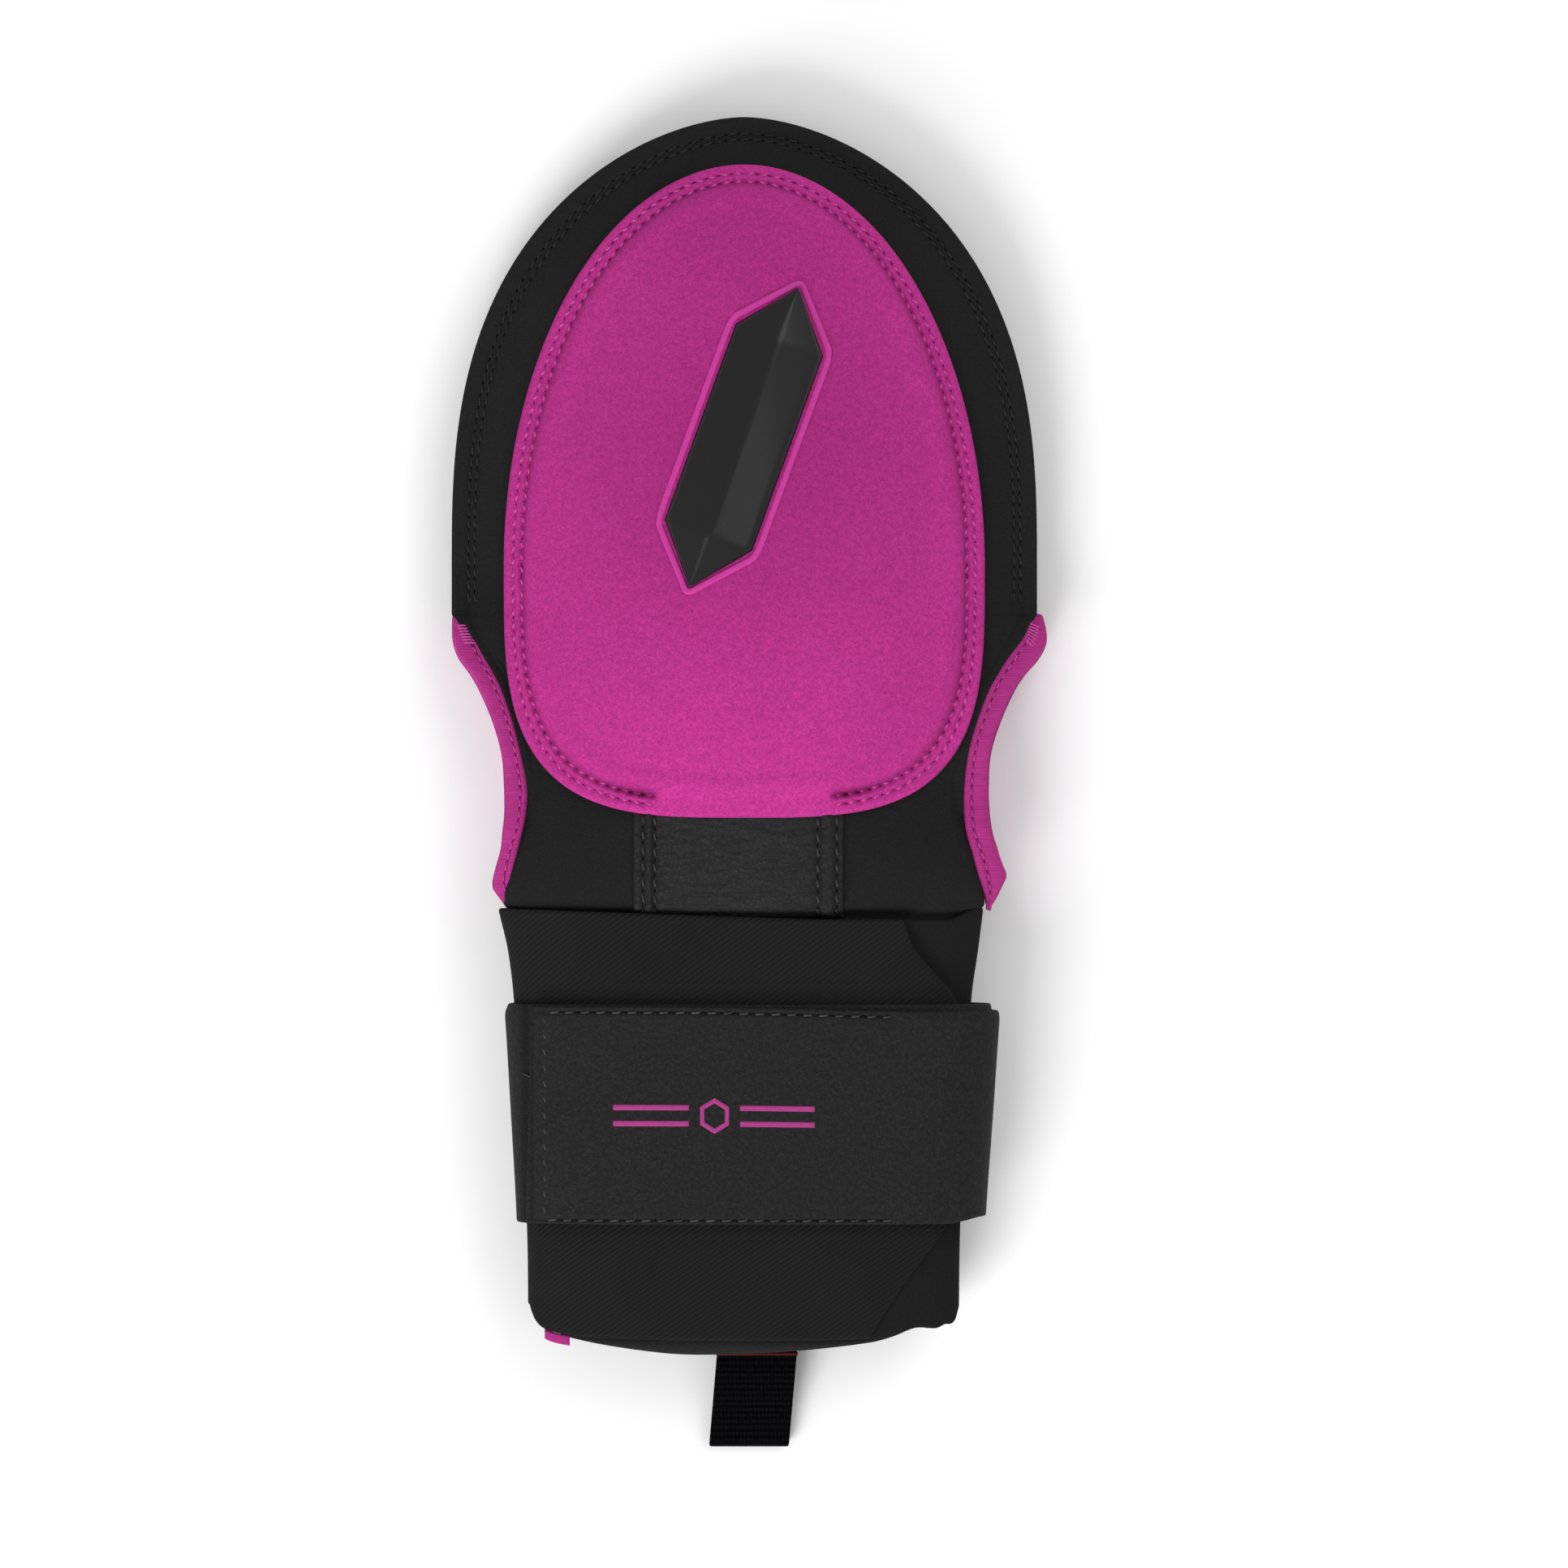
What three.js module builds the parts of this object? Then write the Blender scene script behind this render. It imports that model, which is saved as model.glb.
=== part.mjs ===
// A sliding mitt: a padded hand guard that closes round the wrist, lying on its palm side.
// Millimetres. +Y runs from the wrist to the fingertips, +X to the right of the hand's back,
// +Z up, out of the back of the hand. The origin is under the middle, on the floor.
import * as THREE from "three";
import { mergeVertices } from "three/addons/utils/BufferGeometryUtils.js";

// Clearances
const GAP = 0.3; // between two pieces that are sewn or laid together
const PAD_GAP = 0.5; // under the pad, whose flat facets lie on a dome
const BINDING_GAP = 0.6; // between a panel's cut edge and its binding

// Hand pouch: half width, and lengths from the fingertip down to the wrist band
const HAND_HALF_WIDTH = 69.4;
const TIP_LENGTH = 104.8; // fingertip to the widest line
const SIDE_LENGTH = 13.1; // straight side above the thumb openings
const THUMB_LENGTH = 67.7; // thumb opening
const NECK_LENGTH = 4.4; // thumb opening to the wrist band
const TIP_BLUNTNESS = 2.4; // exponent of the fingertip curve, 2 is an ellipse
const TIP_RUN = 42; // length over which the back rises behind the tip
const PANEL_WALL = 2.5;
const SEAM_LIP = 4.5; // flat sewn lip round the fingertips
const HAND_HEIGHT = 31; // top of the back panel
const HAND_SEAM_HEIGHT = 11;
const THUMB_GAPE = 7.5; // how far each panel's edge stands from the seam line
const PALM_FLAT_SHARE = 0.55; // the palm is flat from this share of its half width inwards
const TUCK_LENGTH = 8; // how far the pouch reaches into the cuff
const TUCK_GAP = 0.5;

// The pouch's cut edge beside a thumb opening.
// down: share of THUMB_LENGTH. out: share of HAND_HALF_WIDTH.
const THUMB_EDGE = [
  { down: 0, out: 1 },
  { down: 0.09, out: 0.928 },
  { down: 0.204, out: 0.86 },
  { down: 0.318, out: 0.807 },
  { down: 0.431, out: 0.7745 },
  { down: 0.6, out: 0.746 },
  { down: 0.715, out: 0.749 },
  { down: 0.829, out: 0.772 },
  { down: 0.943, out: 0.7955 },
  { down: 1, out: 0.797 },
];

// Binding round each thumb opening
const BINDING_WIDTH = 4.6;
const BINDING_THICKNESS = 3.4;
const BINDING_TOP_INSET = 3.2; // from the opening's upper end to the binding's turn
const BINDING_BOTTOM_INSET = 1.7;

// Back pad
const PAD_HALF_WIDTH = 56.9;
const PAD_UPPER_LENGTH = 95; // widest line to the pad's upper end
const PAD_LOWER_LENGTH = 59.4; // widest line to the pad's lower end
const PAD_TIP_MARGIN = 11.7; // fingertip seam to the pad's upper end
const PAD_LOWER_SQUARENESS = 3.4; // exponent of the lower outline
const PAD_BORDER_WIDTH = 4.3;
const PAD_BORDER_THICKNESS = 1.8;
const PAD_SWELL = 7.2; // how far the stuffing rises above the border
const PAD_FULLNESS = 3.5; // exponent of the swell, higher is flatter in the middle
const PAD_UPPER_FAN = 40; // from the ends to where the mesh lines meet
const PAD_LOWER_FAN = 28;

// Rubber boss on the pad
const BOSS_LENGTH = 75;
const BOSS_WIDTH = 22;
const BOSS_POINT_SHARE = 0.35; // share of the half length that tapers, from a mesh line on
const BOSS_BASE = 1.2;
const BOSS_RIDGE = 2.4;
const BOSS_ALONG = [0, 0.33, 0.65, 0.82, 1]; // its mesh lines, as shares of the half length
const BOSS_ACROSS = [-1, -0.5, 0, 0.5, 1]; // the same across its half width
const BOSS_TILT = THREE.MathUtils.degToRad(-20);
const BOSS_ABOVE_PAD_LINE = 29.8; // from the pad's widest line to the boss's middle

// Leather strip below the pad
const STRIP_HALF_WIDTH = 24.7;
const STRIP_THICKNESS = 1.8;

// The strip's section. across: share of its half width. thick: share of STRIP_THICKNESS.
const STRIP_SECTION = [
  { across: -1, thick: 0.4 },
  { across: -0.94, thick: 0.66 },
  { across: -0.88, thick: 1 },
  { across: -0.8, thick: 0.5 },
  { across: -0.4, thick: 0.6 },
  { across: 0, thick: 0.62 },
  { across: 0.4, thick: 0.6 },
  { across: 0.8, thick: 0.5 },
  { across: 0.88, thick: 1 },
  { across: 0.94, thick: 0.66 },
  { across: 1, thick: 0.4 },
];

// Wrist: one flattened ring, which each layer follows at its own distance
const WRIST_HALF_WIDTH = 56;
const WRIST_HEIGHT = 27;
const WRIST_SQUARENESS = 2.6; // exponent of the ring, 2 is an ellipse
const CUFF_LENGTH = 102.5;
const CUFF_WALL = 2;
const HEM_RISE = 9; // how far the hem's ends lie above its lowest point

// Half widths of the wrist. down: share of CUFF_LENGTH. left, right: shares of WRIST_HALF_WIDTH.
const WRIST_TAPER = [
  { down: -0.04, left: 1.013, right: 1.014 },
  { down: 0, left: 0.996, right: 1.005 },
  { down: 0.07, left: 0.966, right: 0.989 },
  { down: 0.18, left: 0.941, right: 0.961 },
  { down: 0.44, left: 0.911, right: 0.936 },
  { down: 0.72, left: 0.884, right: 0.912 },
  { down: 1, left: 0.879, right: 0.907 },
];

// The cuff's hem. across: share of the half width. rise: share of HEM_RISE.
const HEM = [
  { across: -1, rise: 0.78 },
  { across: -0.83, rise: 0.41 },
  { across: -0.4, rise: 0.045 },
  { across: -0.13, rise: 0 },
  { across: 0.25, rise: 0.1 },
  { across: 0.59, rise: 0.32 },
  { across: 0.8, rise: 0.67 },
  { across: 1, rise: 1 },
];

// Elastic wrap
const WRAP_WALL = 1.6;
const WRAP_TOP_SLANT = 2.5; // its upper edge is this much higher on the left
const WRAP_HEM_MARGIN = 3.3; // cuff's lowest point to the wrap's lower edge
const WRAP_HEM_BOW = 1.3;
const WRAP_HEM_CORNER = 2.5;
const WRAP_CORNER_SHARPNESS = 12; // exponent of the corner's rise
const WRAP_SLANT_START = 0.333; // where the slant starts, as a share of WRIST_HALF_WIDTH
const WRAP_TURN = THREE.MathUtils.degToRad(90);
const WRAP_BACK_END = THREE.MathUtils.degToRad(330);

// The wrap's tapered end. down: share of its length. out: share of WRIST_HALF_WIDTH.
const WRAP_END = [
  { down: 0, out: 0.67 },
  { down: 0.071, out: 0.718 },
  { down: 0.178, out: 0.866 },
  { down: 0.245, out: 0.9 },
  { down: 0.485, out: 0.885 },
  { down: 0.7, out: 0.86 },
  { down: 0.757, out: 0.83 },
  { down: 0.819, out: 0.746 },
  { down: 0.923, out: 0.6125 },
  { down: 1, out: 0.527 },
];

// Closure strap
const STRAP_WIDTH = 51.7;
const STRAP_FROM_CUFF_TOP = 20; // cuff's upper edge to the strap's
const STRAP_WALL = 1.2;
const STRAP_SLACK = 2.2; // how far it stands off at the right side, at its upper edge
const STRAP_SLACK_LOWER = 1.1; // the same at its lower edge
const STRAP_SLACK_ARC = THREE.MathUtils.degToRad(75);
const STRAP_TURN = THREE.MathUtils.degToRad(130);
const STRAP_LEFT_END = THREE.MathUtils.degToRad(200);
const STRAP_BACK_END = THREE.MathUtils.degToRad(-140);
const FACE_WALL = 1.2;
const FACE_LEFT_OUT = 51.3; // middle of the hand to the face's left edge
const FACE_RIGHT_END = THREE.MathUtils.degToRad(-40);

// Pull tab of folded webbing
const TAB_WIDTH = 19;
const TAB_REACH = 22.3; // beyond the hem
const TAB_ROOT = 16; // sewn length inside the cuff
const TAB_WEB = 1.3;
const TAB_EYE = 1; // space between its two layers
const TAB_OFFSET = 3; // its middle, to the right of the hand's middle
const TAB_SLANT = THREE.MathUtils.degToRad(-3.4);

// Hem tag
const TAG_WIDTH = 5.8;
const TAG_LENGTH = 3;
const TAG_WALL = 0.6;
const TAG_OUT = 0.89; // its middle, as a share of the left half width

// Mesh fineness
const TIP_STEPS = 14;
const THUMB_STEPS = 10;
const PAD_STEPS = 22;
const RING_STEPS = 36;
const STRIP_STEPS = 4;
const STRAP_STEPS = 4;
const TAB_STEPS = 10;
const TAB_BEND_STEPS = 6;
const TAG_STEPS = 3;
const SLOPE_STEP = 0.5; // length over which an edge's slope is taken
const TURN_STEP = 0.01; // the same along a loop, as an angle
const LEAD_STEPS = 8;
const CUFF_ROWS = [0, 0.03, 0.07, 0.12, 0.18, 0.3, 0.44, 0.6, 0.8, 1]; // shares of its length
const BINDING_STEPS = 36;
const BINDING_SIDES = 8;
const SPREAD = [0.05, 0.16, 0.32, 0.54, 0.77]; // mesh lines between the lip and the middle line

// Places along the hand, from the middle of the cuff's upper edge
const CUFF_TOP_Y = 0;
const OPENING_BOTTOM_Y = CUFF_TOP_Y + NECK_LENGTH;
const OPENING_TOP_Y = OPENING_BOTTOM_Y + THUMB_LENGTH;
const OPENING_MID_Y = (OPENING_BOTTOM_Y + OPENING_TOP_Y) / 2;
const WIDEST_Y = OPENING_TOP_Y + SIDE_LENGTH;
const TIP_Y = WIDEST_Y + TIP_LENGTH;
const PAD_TOP_Y = TIP_Y - PAD_TIP_MARGIN;
const PAD_WIDEST_Y = PAD_TOP_Y - PAD_UPPER_LENGTH;
const HEM_Y = CUFF_TOP_Y - CUFF_LENGTH;
const STRAP_TOP_Y = CUFF_TOP_Y - STRAP_FROM_CUFF_TOP;
const WRAP_HEM_Y = HEM_Y + WRAP_HEM_MARGIN;

// Heights of the wrist layers, from the strap on the floor inwards
const WRAP_INNER = GAP;
const STRAP_INNER = WRAP_INNER + WRAP_WALL + GAP;
const FACE_INNER = STRAP_INNER + STRAP_WALL + GAP;
const WRIST_BOTTOM = STRAP_INNER + STRAP_WALL;
const WRIST_MID_HEIGHT = WRIST_BOTTOM + WRIST_HEIGHT / 2;
const TUCK_DEPTH = CUFF_WALL + TUCK_GAP;

const { clamp, lerp, smoothstep } = THREE.MathUtils;
const point = (x, y, z) => new THREE.Vector3(x, y, z);
const power = (base, exponent) => Math.sign(base) * Math.abs(base) ** exponent;
const steps = (count) => Array.from({ length: count + 1 }, (_, i) => i / count);

// Reads a column of a table as a smooth curve through its rows.
function readTable(rows, key, column, at) {
  let i = 0;
  while (i < rows.length - 2 && at > rows[i + 1][key]) {
    i += 1;
  }
  const slope = (j) => {
    const before = rows[Math.max(j - 1, 0)];
    const after = rows[Math.min(j + 1, rows.length - 1)];
    return (after[column] - before[column]) / (after[key] - before[key]);
  };
  const span = rows[i + 1][key] - rows[i][key];
  const t = clamp((at - rows[i][key]) / span, 0, 1);
  const rise = rows[i + 1][column] - rows[i][column];
  const startBend = slope(i) * span - rise;
  const endBend = rise - slope(i + 1) * span;
  return rows[i][column] + rise * t + t * (1 - t) * (startBend * (1 - t) + endBend * t);
}

// Closed body from points and triangles: equal points are joined, empty triangles dropped
// and the faces turned outwards.
function closedBody(points, triangles) {
  const loose = new THREE.BufferGeometry();
  const numbers = points.flatMap((p) => p.toArray());
  loose.setAttribute("position", new THREE.Float32BufferAttribute(numbers, 3));
  loose.setIndex(triangles);
  const joined = mergeVertices(loose, 1e-3);
  const index = joined.getIndex().array;
  const corner = (i) => new THREE.Vector3().fromBufferAttribute(joined.attributes.position, i);
  const kept = [];
  let volume = 0;
  for (let i = 0; i < index.length; i += 3) {
    const [a, b, c] = index.slice(i, i + 3);
    if (a !== b && b !== c && c !== a) {
      kept.push([a, b, c]);
      volume += corner(a).dot(corner(b).cross(corner(c)));
    }
  }
  joined.setIndex(kept.flatMap(([a, b, c]) => (volume > 0 ? [a, b, c] : [a, c, b])));
  joined.computeVertexNormals();
  return joined;
}

// Wall between an outer and an inner grid of points, with the rim that joins their edges.
// A ring closes on itself across its columns. A folded end is a row that is its own mirror
// image, as at a fingertip, and has no rim.
function wall(outer, inner, { ring = false, foldedStart = false, foldedEnd = false } = {}) {
  const rows = outer.length;
  const columns = outer[0].length;
  const last = columns - 1;
  const at = (face, row, column) => (face * rows + row) * columns + (column % columns);
  const triangles = [];
  const quad = (a, b, c, d) => triangles.push(a, b, c, a, c, d);
  const spans = ring ? columns : last;
  for (let r = 0; r < rows - 1; r += 1) {
    for (let c = 0; c < spans; c += 1) {
      quad(at(0, r, c), at(0, r, c + 1), at(0, r + 1, c + 1), at(0, r + 1, c));
      quad(at(1, r, c), at(1, r + 1, c), at(1, r + 1, c + 1), at(1, r, c + 1));
    }
    if (!ring) {
      quad(at(0, r, 0), at(0, r + 1, 0), at(1, r + 1, 0), at(1, r, 0));
      quad(at(0, r, last), at(1, r, last), at(1, r + 1, last), at(0, r + 1, last));
    }
  }
  for (let c = 0; c < spans; c += 1) {
    if (!foldedStart) {
      quad(at(0, 0, c), at(1, 0, c), at(1, 0, c + 1), at(0, 0, c + 1));
    }
    if (!foldedEnd) {
      quad(at(0, rows - 1, c), at(0, rows - 1, c + 1), at(1, rows - 1, c + 1), at(1, rows - 1, c));
    }
  }
  return closedBody([...outer.flat(), ...inner.flat()], triangles);
}

// Wrist ring. The angle runs from the right side over the top. The ring is a rounded
// rectangle |x/a|^n + |z/b|^n = 1, moved outwards along its normal by a distance.
function wristHalf(y, side) {
  return WRIST_HALF_WIDTH * readTable(WRIST_TAPER, "down", side, (CUFF_TOP_Y - y) / CUFF_LENGTH);
}

function ringPoint(angle, y, distance) {
  const half = wristHalf(y, Math.cos(angle) >= 0 ? "right" : "left");
  const across = power(Math.cos(angle), 2 / WRIST_SQUARENESS);
  const up = power(Math.sin(angle), 2 / WRIST_SQUARENESS);
  const normal = new THREE.Vector2(
    power(across, WRIST_SQUARENESS - 1) / half,
    power(up, WRIST_SQUARENESS - 1) / (WRIST_HEIGHT / 2),
  ).normalize();
  const x = across * half + normal.x * distance;
  const z = WRIST_MID_HEIGHT + (up * WRIST_HEIGHT) / 2 + normal.y * distance;
  return point(x, y, z);
}

// Angle on the ring's upper side at which it is a given distance out.
function angleAt(out, y, distance) {
  const half = wristHalf(y, out >= 0 ? "right" : "left") + distance;
  return Math.acos(power(clamp(out / half, -1, 1), WRIST_SQUARENESS / 2));
}

// Angles of a wrist layer's mesh lines. From the turn to the end all layers share the same
// lines, so that their flat facets stay apart. A few more lead to the turn from the start,
// which may lie elsewhere in each row.
function layerAngles(start, turn, end) {
  const leading = steps(LEAD_STEPS).map((share) => lerp(start, turn, share));
  const shared = steps(Math.round((Math.abs(end - turn) * RING_STEPS) / (2 * Math.PI)));
  return [...leading, ...shared.slice(1).map((share) => lerp(turn, end, share))];
}

// Hand pouch. It turns from a flat lens to the round wrist down the opening's lower half.
function wristBlend(y) {
  return smoothstep(OPENING_MID_Y - y, 0, THUMB_LENGTH / 2);
}

function tuckBlend(y) {
  return smoothstep(OPENING_BOTTOM_Y + NECK_LENGTH - y, 0, 2 * NECK_LENGTH - GAP);
}

function tipCurve(turn, inset) {
  const out = (HAND_HALF_WIDTH - inset) * Math.sin(turn);
  const up = (TIP_LENGTH - inset) * Math.abs(Math.cos(turn)) ** (2 / TIP_BLUNTNESS);
  return { out, y: WIDEST_Y + up };
}

function handHalf(y, inset) {
  if (y > WIDEST_Y) {
    const share = clamp((y - WIDEST_Y) / (TIP_LENGTH - inset), 0, 1);
    return (HAND_HALF_WIDTH - inset) * Math.sqrt(1 - share ** TIP_BLUNTNESS);
  }
  const down = clamp((OPENING_TOP_Y - y) / THUMB_LENGTH, 0, 1);
  const open = HAND_HALF_WIDTH * readTable(THUMB_EDGE, "down", "out", down) - inset;
  const tucked = wristHalf(Math.min(y, CUFF_TOP_Y), "left") - TUCK_DEPTH - inset;
  return lerp(open, Math.min(open, tucked), tuckBlend(y));
}

function seamHeight(y) {
  return lerp(HAND_SEAM_HEIGHT, WRIST_MID_HEIGHT, wristBlend(y));
}

function gape(y) {
  const share = (y - OPENING_MID_Y) / (THUMB_LENGTH / 2);
  return THUMB_GAPE * Math.sqrt(Math.max(0, 1 - share * share));
}

// Rise from the edge to the middle line: a sine on the lens-shaped hand, a round shoulder
// at the wrist.
function swell(share, round) {
  const lens = Math.sin((share * Math.PI) / 2);
  const shoulder = (1 - (1 - share) ** WRIST_SQUARENESS) ** (1 / WRIST_SQUARENESS);
  return lerp(lens, shoulder, round);
}

// Height of the back panel (side 1) or the palm panel (side -1) over a place, with depth
// 0 on its outer face and PANEL_WALL on its inner face.
function panelHeight(side, x, y, depth) {
  const round = wristBlend(y);
  const edge = seamHeight(y) + side * (GAP / 2 + gape(y) + (PANEL_WALL - depth) * (1 - round));
  const tucked = WRIST_MID_HEIGHT + side * (WRIST_HEIGHT / 2 - TUCK_DEPTH);
  const middle = lerp(side > 0 ? HAND_HEIGHT : 0, tucked, tuckBlend(y)) - side * depth;
  const half = handHalf(y, SEAM_LIP * (1 - round)) - depth * round;
  const flat = side > 0 ? 1 : lerp(1 - PALM_FLAT_SHARE, 1, round);
  const share = half > 0 ? clamp((1 - Math.abs(x) / half) / flat, 0, 1) : 0;
  const tip = Math.sin((clamp((TIP_Y - SEAM_LIP - y) / TIP_RUN, 0, 1) * Math.PI) / 2);
  return edge + (middle - edge) * swell(share, round) * tip;
}

// Lines from the pouch's edge to its middle line, from the fingertip to the tucked end.
function pouchLines() {
  const lines = steps(TIP_STEPS).map((share) => {
    const turn = (share * Math.PI) / 2;
    return {
      edge: tipCurve(turn, 0),
      lip: tipCurve(turn, SEAM_LIP),
      middle: tipCurve(turn, TIP_RUN).y,
    };
  });
  const straight = (y) => lines.push({
    edge: { out: handHalf(y, 0), y },
    lip: { out: handHalf(y, SEAM_LIP), y },
    middle: y,
  });
  steps(THUMB_STEPS).forEach((share) => {
    straight(OPENING_MID_Y + (Math.cos(share * Math.PI) * THUMB_LENGTH) / 2);
  });
  straight(CUFF_TOP_Y + GAP);
  straight(CUFF_TOP_Y - TUCK_LENGTH);
  return lines;
}

function pouchFace(side, depth) {
  return pouchLines().map(({ edge, lip, middle }) => {
    const narrowing = 1 - (depth * wristBlend(edge.y)) / Math.max(edge.out, 1);
    const places = [[edge.out, edge.y], [lip.out, lip.y]];
    SPREAD.forEach((share) => {
      places.push([lip.out * (1 - share), lerp(lip.y, middle, share)]);
    });
    const right = places.map(([out, y]) => {
      const x = out * narrowing;
      return point(x, y, panelHeight(side, x, y, depth));
    });
    const left = right.map((p) => point(-p.x, p.y, p.z));
    const centre = point(0, middle, panelHeight(side, 0, middle, depth));
    return [...left, centre, ...right.reverse()];
  });
}

function panel(side) {
  return wall(pouchFace(side, 0), pouchFace(side, PANEL_WALL), { foldedStart: true });
}

// Binding: a closed loop along the cut edges of both panels, with an oval section whose
// wide axis points away from the panels.
function binding(side) {
  const topY = OPENING_TOP_Y - BINDING_TOP_INSET;
  const bottomY = OPENING_BOTTOM_Y + BINDING_BOTTOM_INSET;
  const reach = THUMB_GAPE + PANEL_WALL / 2;
  const place = (turn) => {
    const y = (topY + bottomY) / 2 + (Math.cos(turn) * (topY - bottomY)) / 2;
    const slope = (handHalf(y + SLOPE_STEP, 0) - handHalf(y - SLOPE_STEP, 0)) / (2 * SLOPE_STEP);
    const away = point(side, -slope, 0).normalize();
    const centre = point(side * handHalf(y, 0), y, seamHeight(y) + Math.sin(turn) * reach);
    return { away, centre: centre.addScaledVector(away, BINDING_GAP + BINDING_WIDTH / 2) };
  };
  const rows = steps(BINDING_STEPS).slice(0, -1).map((share) => {
    const turn = share * 2 * Math.PI;
    const { away, centre } = place(turn);
    const ahead = place(turn + TURN_STEP).centre;
    const heading = ahead.sub(place(turn - TURN_STEP).centre).normalize();
    const wide = away.clone().addScaledVector(heading, -away.dot(heading)).normalize();
    const thin = heading.clone().cross(wide);
    return steps(BINDING_SIDES).slice(0, -1).map((part) => {
      const around = part * 2 * Math.PI;
      return centre.clone()
        .addScaledVector(wide, (Math.cos(around) * BINDING_WIDTH) / 2)
        .addScaledVector(thin, (Math.sin(around) * BINDING_THICKNESS) / 2);
    });
  });
  const triangles = [];
  const at = (r, c) => (r % BINDING_STEPS) * BINDING_SIDES + (c % BINDING_SIDES);
  for (let r = 0; r < BINDING_STEPS; r += 1) {
    for (let c = 0; c < BINDING_SIDES; c += 1) {
      triangles.push(at(r, c), at(r, c + 1), at(r + 1, c + 1));
      triangles.push(at(r, c), at(r + 1, c + 1), at(r + 1, c));
    }
  }
  return closedBody(rows.flat(), triangles);
}

// Back pad. Its outline is an ellipse above its widest line and a squarer curve below it.
function padCurve(turn, inset) {
  const upper = turn <= Math.PI / 2;
  const exponent = upper ? 1 : 2 / PAD_LOWER_SQUARENESS;
  const reach = (upper ? PAD_UPPER_LENGTH : PAD_LOWER_LENGTH) - inset;
  return {
    out: (PAD_HALF_WIDTH - inset) * Math.abs(Math.sin(turn)) ** exponent,
    y: PAD_WIDEST_Y + power(Math.cos(turn), exponent) * reach,
  };
}

function padTop(x, y) {
  const upper = y >= PAD_WIDEST_Y;
  const exponent = upper ? 2 : PAD_LOWER_SQUARENESS;
  const reach = (upper ? PAD_UPPER_LENGTH : PAD_LOWER_LENGTH) - PAD_BORDER_WIDTH;
  const across = Math.abs(x) / (PAD_HALF_WIDTH - PAD_BORDER_WIDTH);
  const along = Math.abs(y - PAD_WIDEST_Y) / reach;
  const share = Math.min(1, (across ** exponent + along ** exponent) ** (1 / exponent));
  const stuffing = PAD_SWELL * (1 - share ** PAD_FULLNESS);
  return panelHeight(1, x, y, 0) + PAD_GAP + PAD_BORDER_THICKNESS + stuffing;
}

function pad() {
  const face = (height) => steps(PAD_STEPS).map((share) => {
    const turn = share * Math.PI;
    const edge = padCurve(turn, 0);
    const border = padCurve(turn, PAD_BORDER_WIDTH);
    const middle = padCurve(turn, turn <= Math.PI / 2 ? PAD_UPPER_FAN : PAD_LOWER_FAN).y;
    const places = [[edge.out, edge.y], [border.out, border.y]];
    SPREAD.forEach((part) => {
      places.push([border.out * (1 - part), lerp(border.y, middle, part)]);
    });
    const right = places.map(([x, y]) => point(x, y, height(x, y)));
    const left = right.map((p) => point(-p.x, p.y, p.z));
    return [...left, point(0, middle, height(0, middle)), ...right.reverse()];
  });
  const seat = (x, y) => panelHeight(1, x, y, 0) + PAD_GAP;
  return wall(face(padTop), face(seat), { foldedStart: true, foldedEnd: true });
}

// Boss: a long six-sided bar with pointed ends, a flat base edge and a ridge down its middle.
function boss() {
  const rise = [];
  const base = [];
  const lower = BOSS_ALONG.slice(1).reverse().map((share) => -share);
  [...lower, ...BOSS_ALONG].forEach((along) => {
    const taper = Math.min(1, (1 - Math.abs(along)) / BOSS_POINT_SHARE);
    const places = BOSS_ACROSS.map((across) => {
      const place = new THREE.Vector2((across * taper * BOSS_WIDTH) / 2, (along * BOSS_LENGTH) / 2)
        .rotateAround(new THREE.Vector2(), BOSS_TILT);
      place.y += PAD_WIDEST_Y + BOSS_ABOVE_PAD_LINE;
      const seat = padTop(place.x, place.y) + GAP;
      const ridge = BOSS_BASE + BOSS_RIDGE * taper * (1 - Math.abs(across));
      return { seat: point(place.x, place.y, seat), top: point(place.x, place.y, seat + ridge) };
    });
    rise.push(places.map((p) => p.top));
    base.push(places.map((p) => p.seat));
  });
  return wall(rise, base);
}

// Strip: from just below the pad to just above the cuff.
function strip() {
  const rows = [];
  const seats = [];
  steps(STRIP_STEPS).forEach((down) => {
    const places = STRIP_SECTION.map(({ across, thick }) => {
      const x = across * STRIP_HALF_WIDTH;
      const squareness = PAD_LOWER_SQUARENESS;
      const bow = (1 - (Math.abs(x) / PAD_HALF_WIDTH) ** squareness) ** (1 / squareness);
      const top = PAD_WIDEST_Y - PAD_LOWER_LENGTH * bow - GAP;
      const y = lerp(top, CUFF_TOP_Y + GAP, down);
      const seat = panelHeight(1, x, y, 0) + GAP;
      return { seat: point(x, y, seat), top: point(x, y, seat + thick * STRIP_THICKNESS) };
    });
    rows.push(places.map((p) => p.top));
    seats.push(places.map((p) => p.seat));
  });
  return wall(rows, seats);
}

// Lower edges of the cuff and the wrap, as heights along the hand over a place across it.
function hemY(x) {
  const half = wristHalf(HEM_Y, x >= 0 ? "right" : "left");
  return HEM_Y + HEM_RISE * readTable(HEM, "across", "rise", clamp(x / half, -1, 1));
}

function wrapHemY(x) {
  const share = Math.abs(x) / wristHalf(HEM_Y, x >= 0 ? "right" : "left");
  const corner = Math.min(1, share) ** WRAP_CORNER_SHARPNESS;
  return WRAP_HEM_Y + WRAP_HEM_BOW * share ** 2 + WRAP_HEM_CORNER * corner;
}

function wrapTopY(x) {
  const share = (WRAP_SLANT_START - x / WRIST_HALF_WIDTH) / (1 + WRAP_SLANT_START);
  return CUFF_TOP_Y + WRAP_TOP_SLANT * clamp(share, 0, 1);
}

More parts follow.
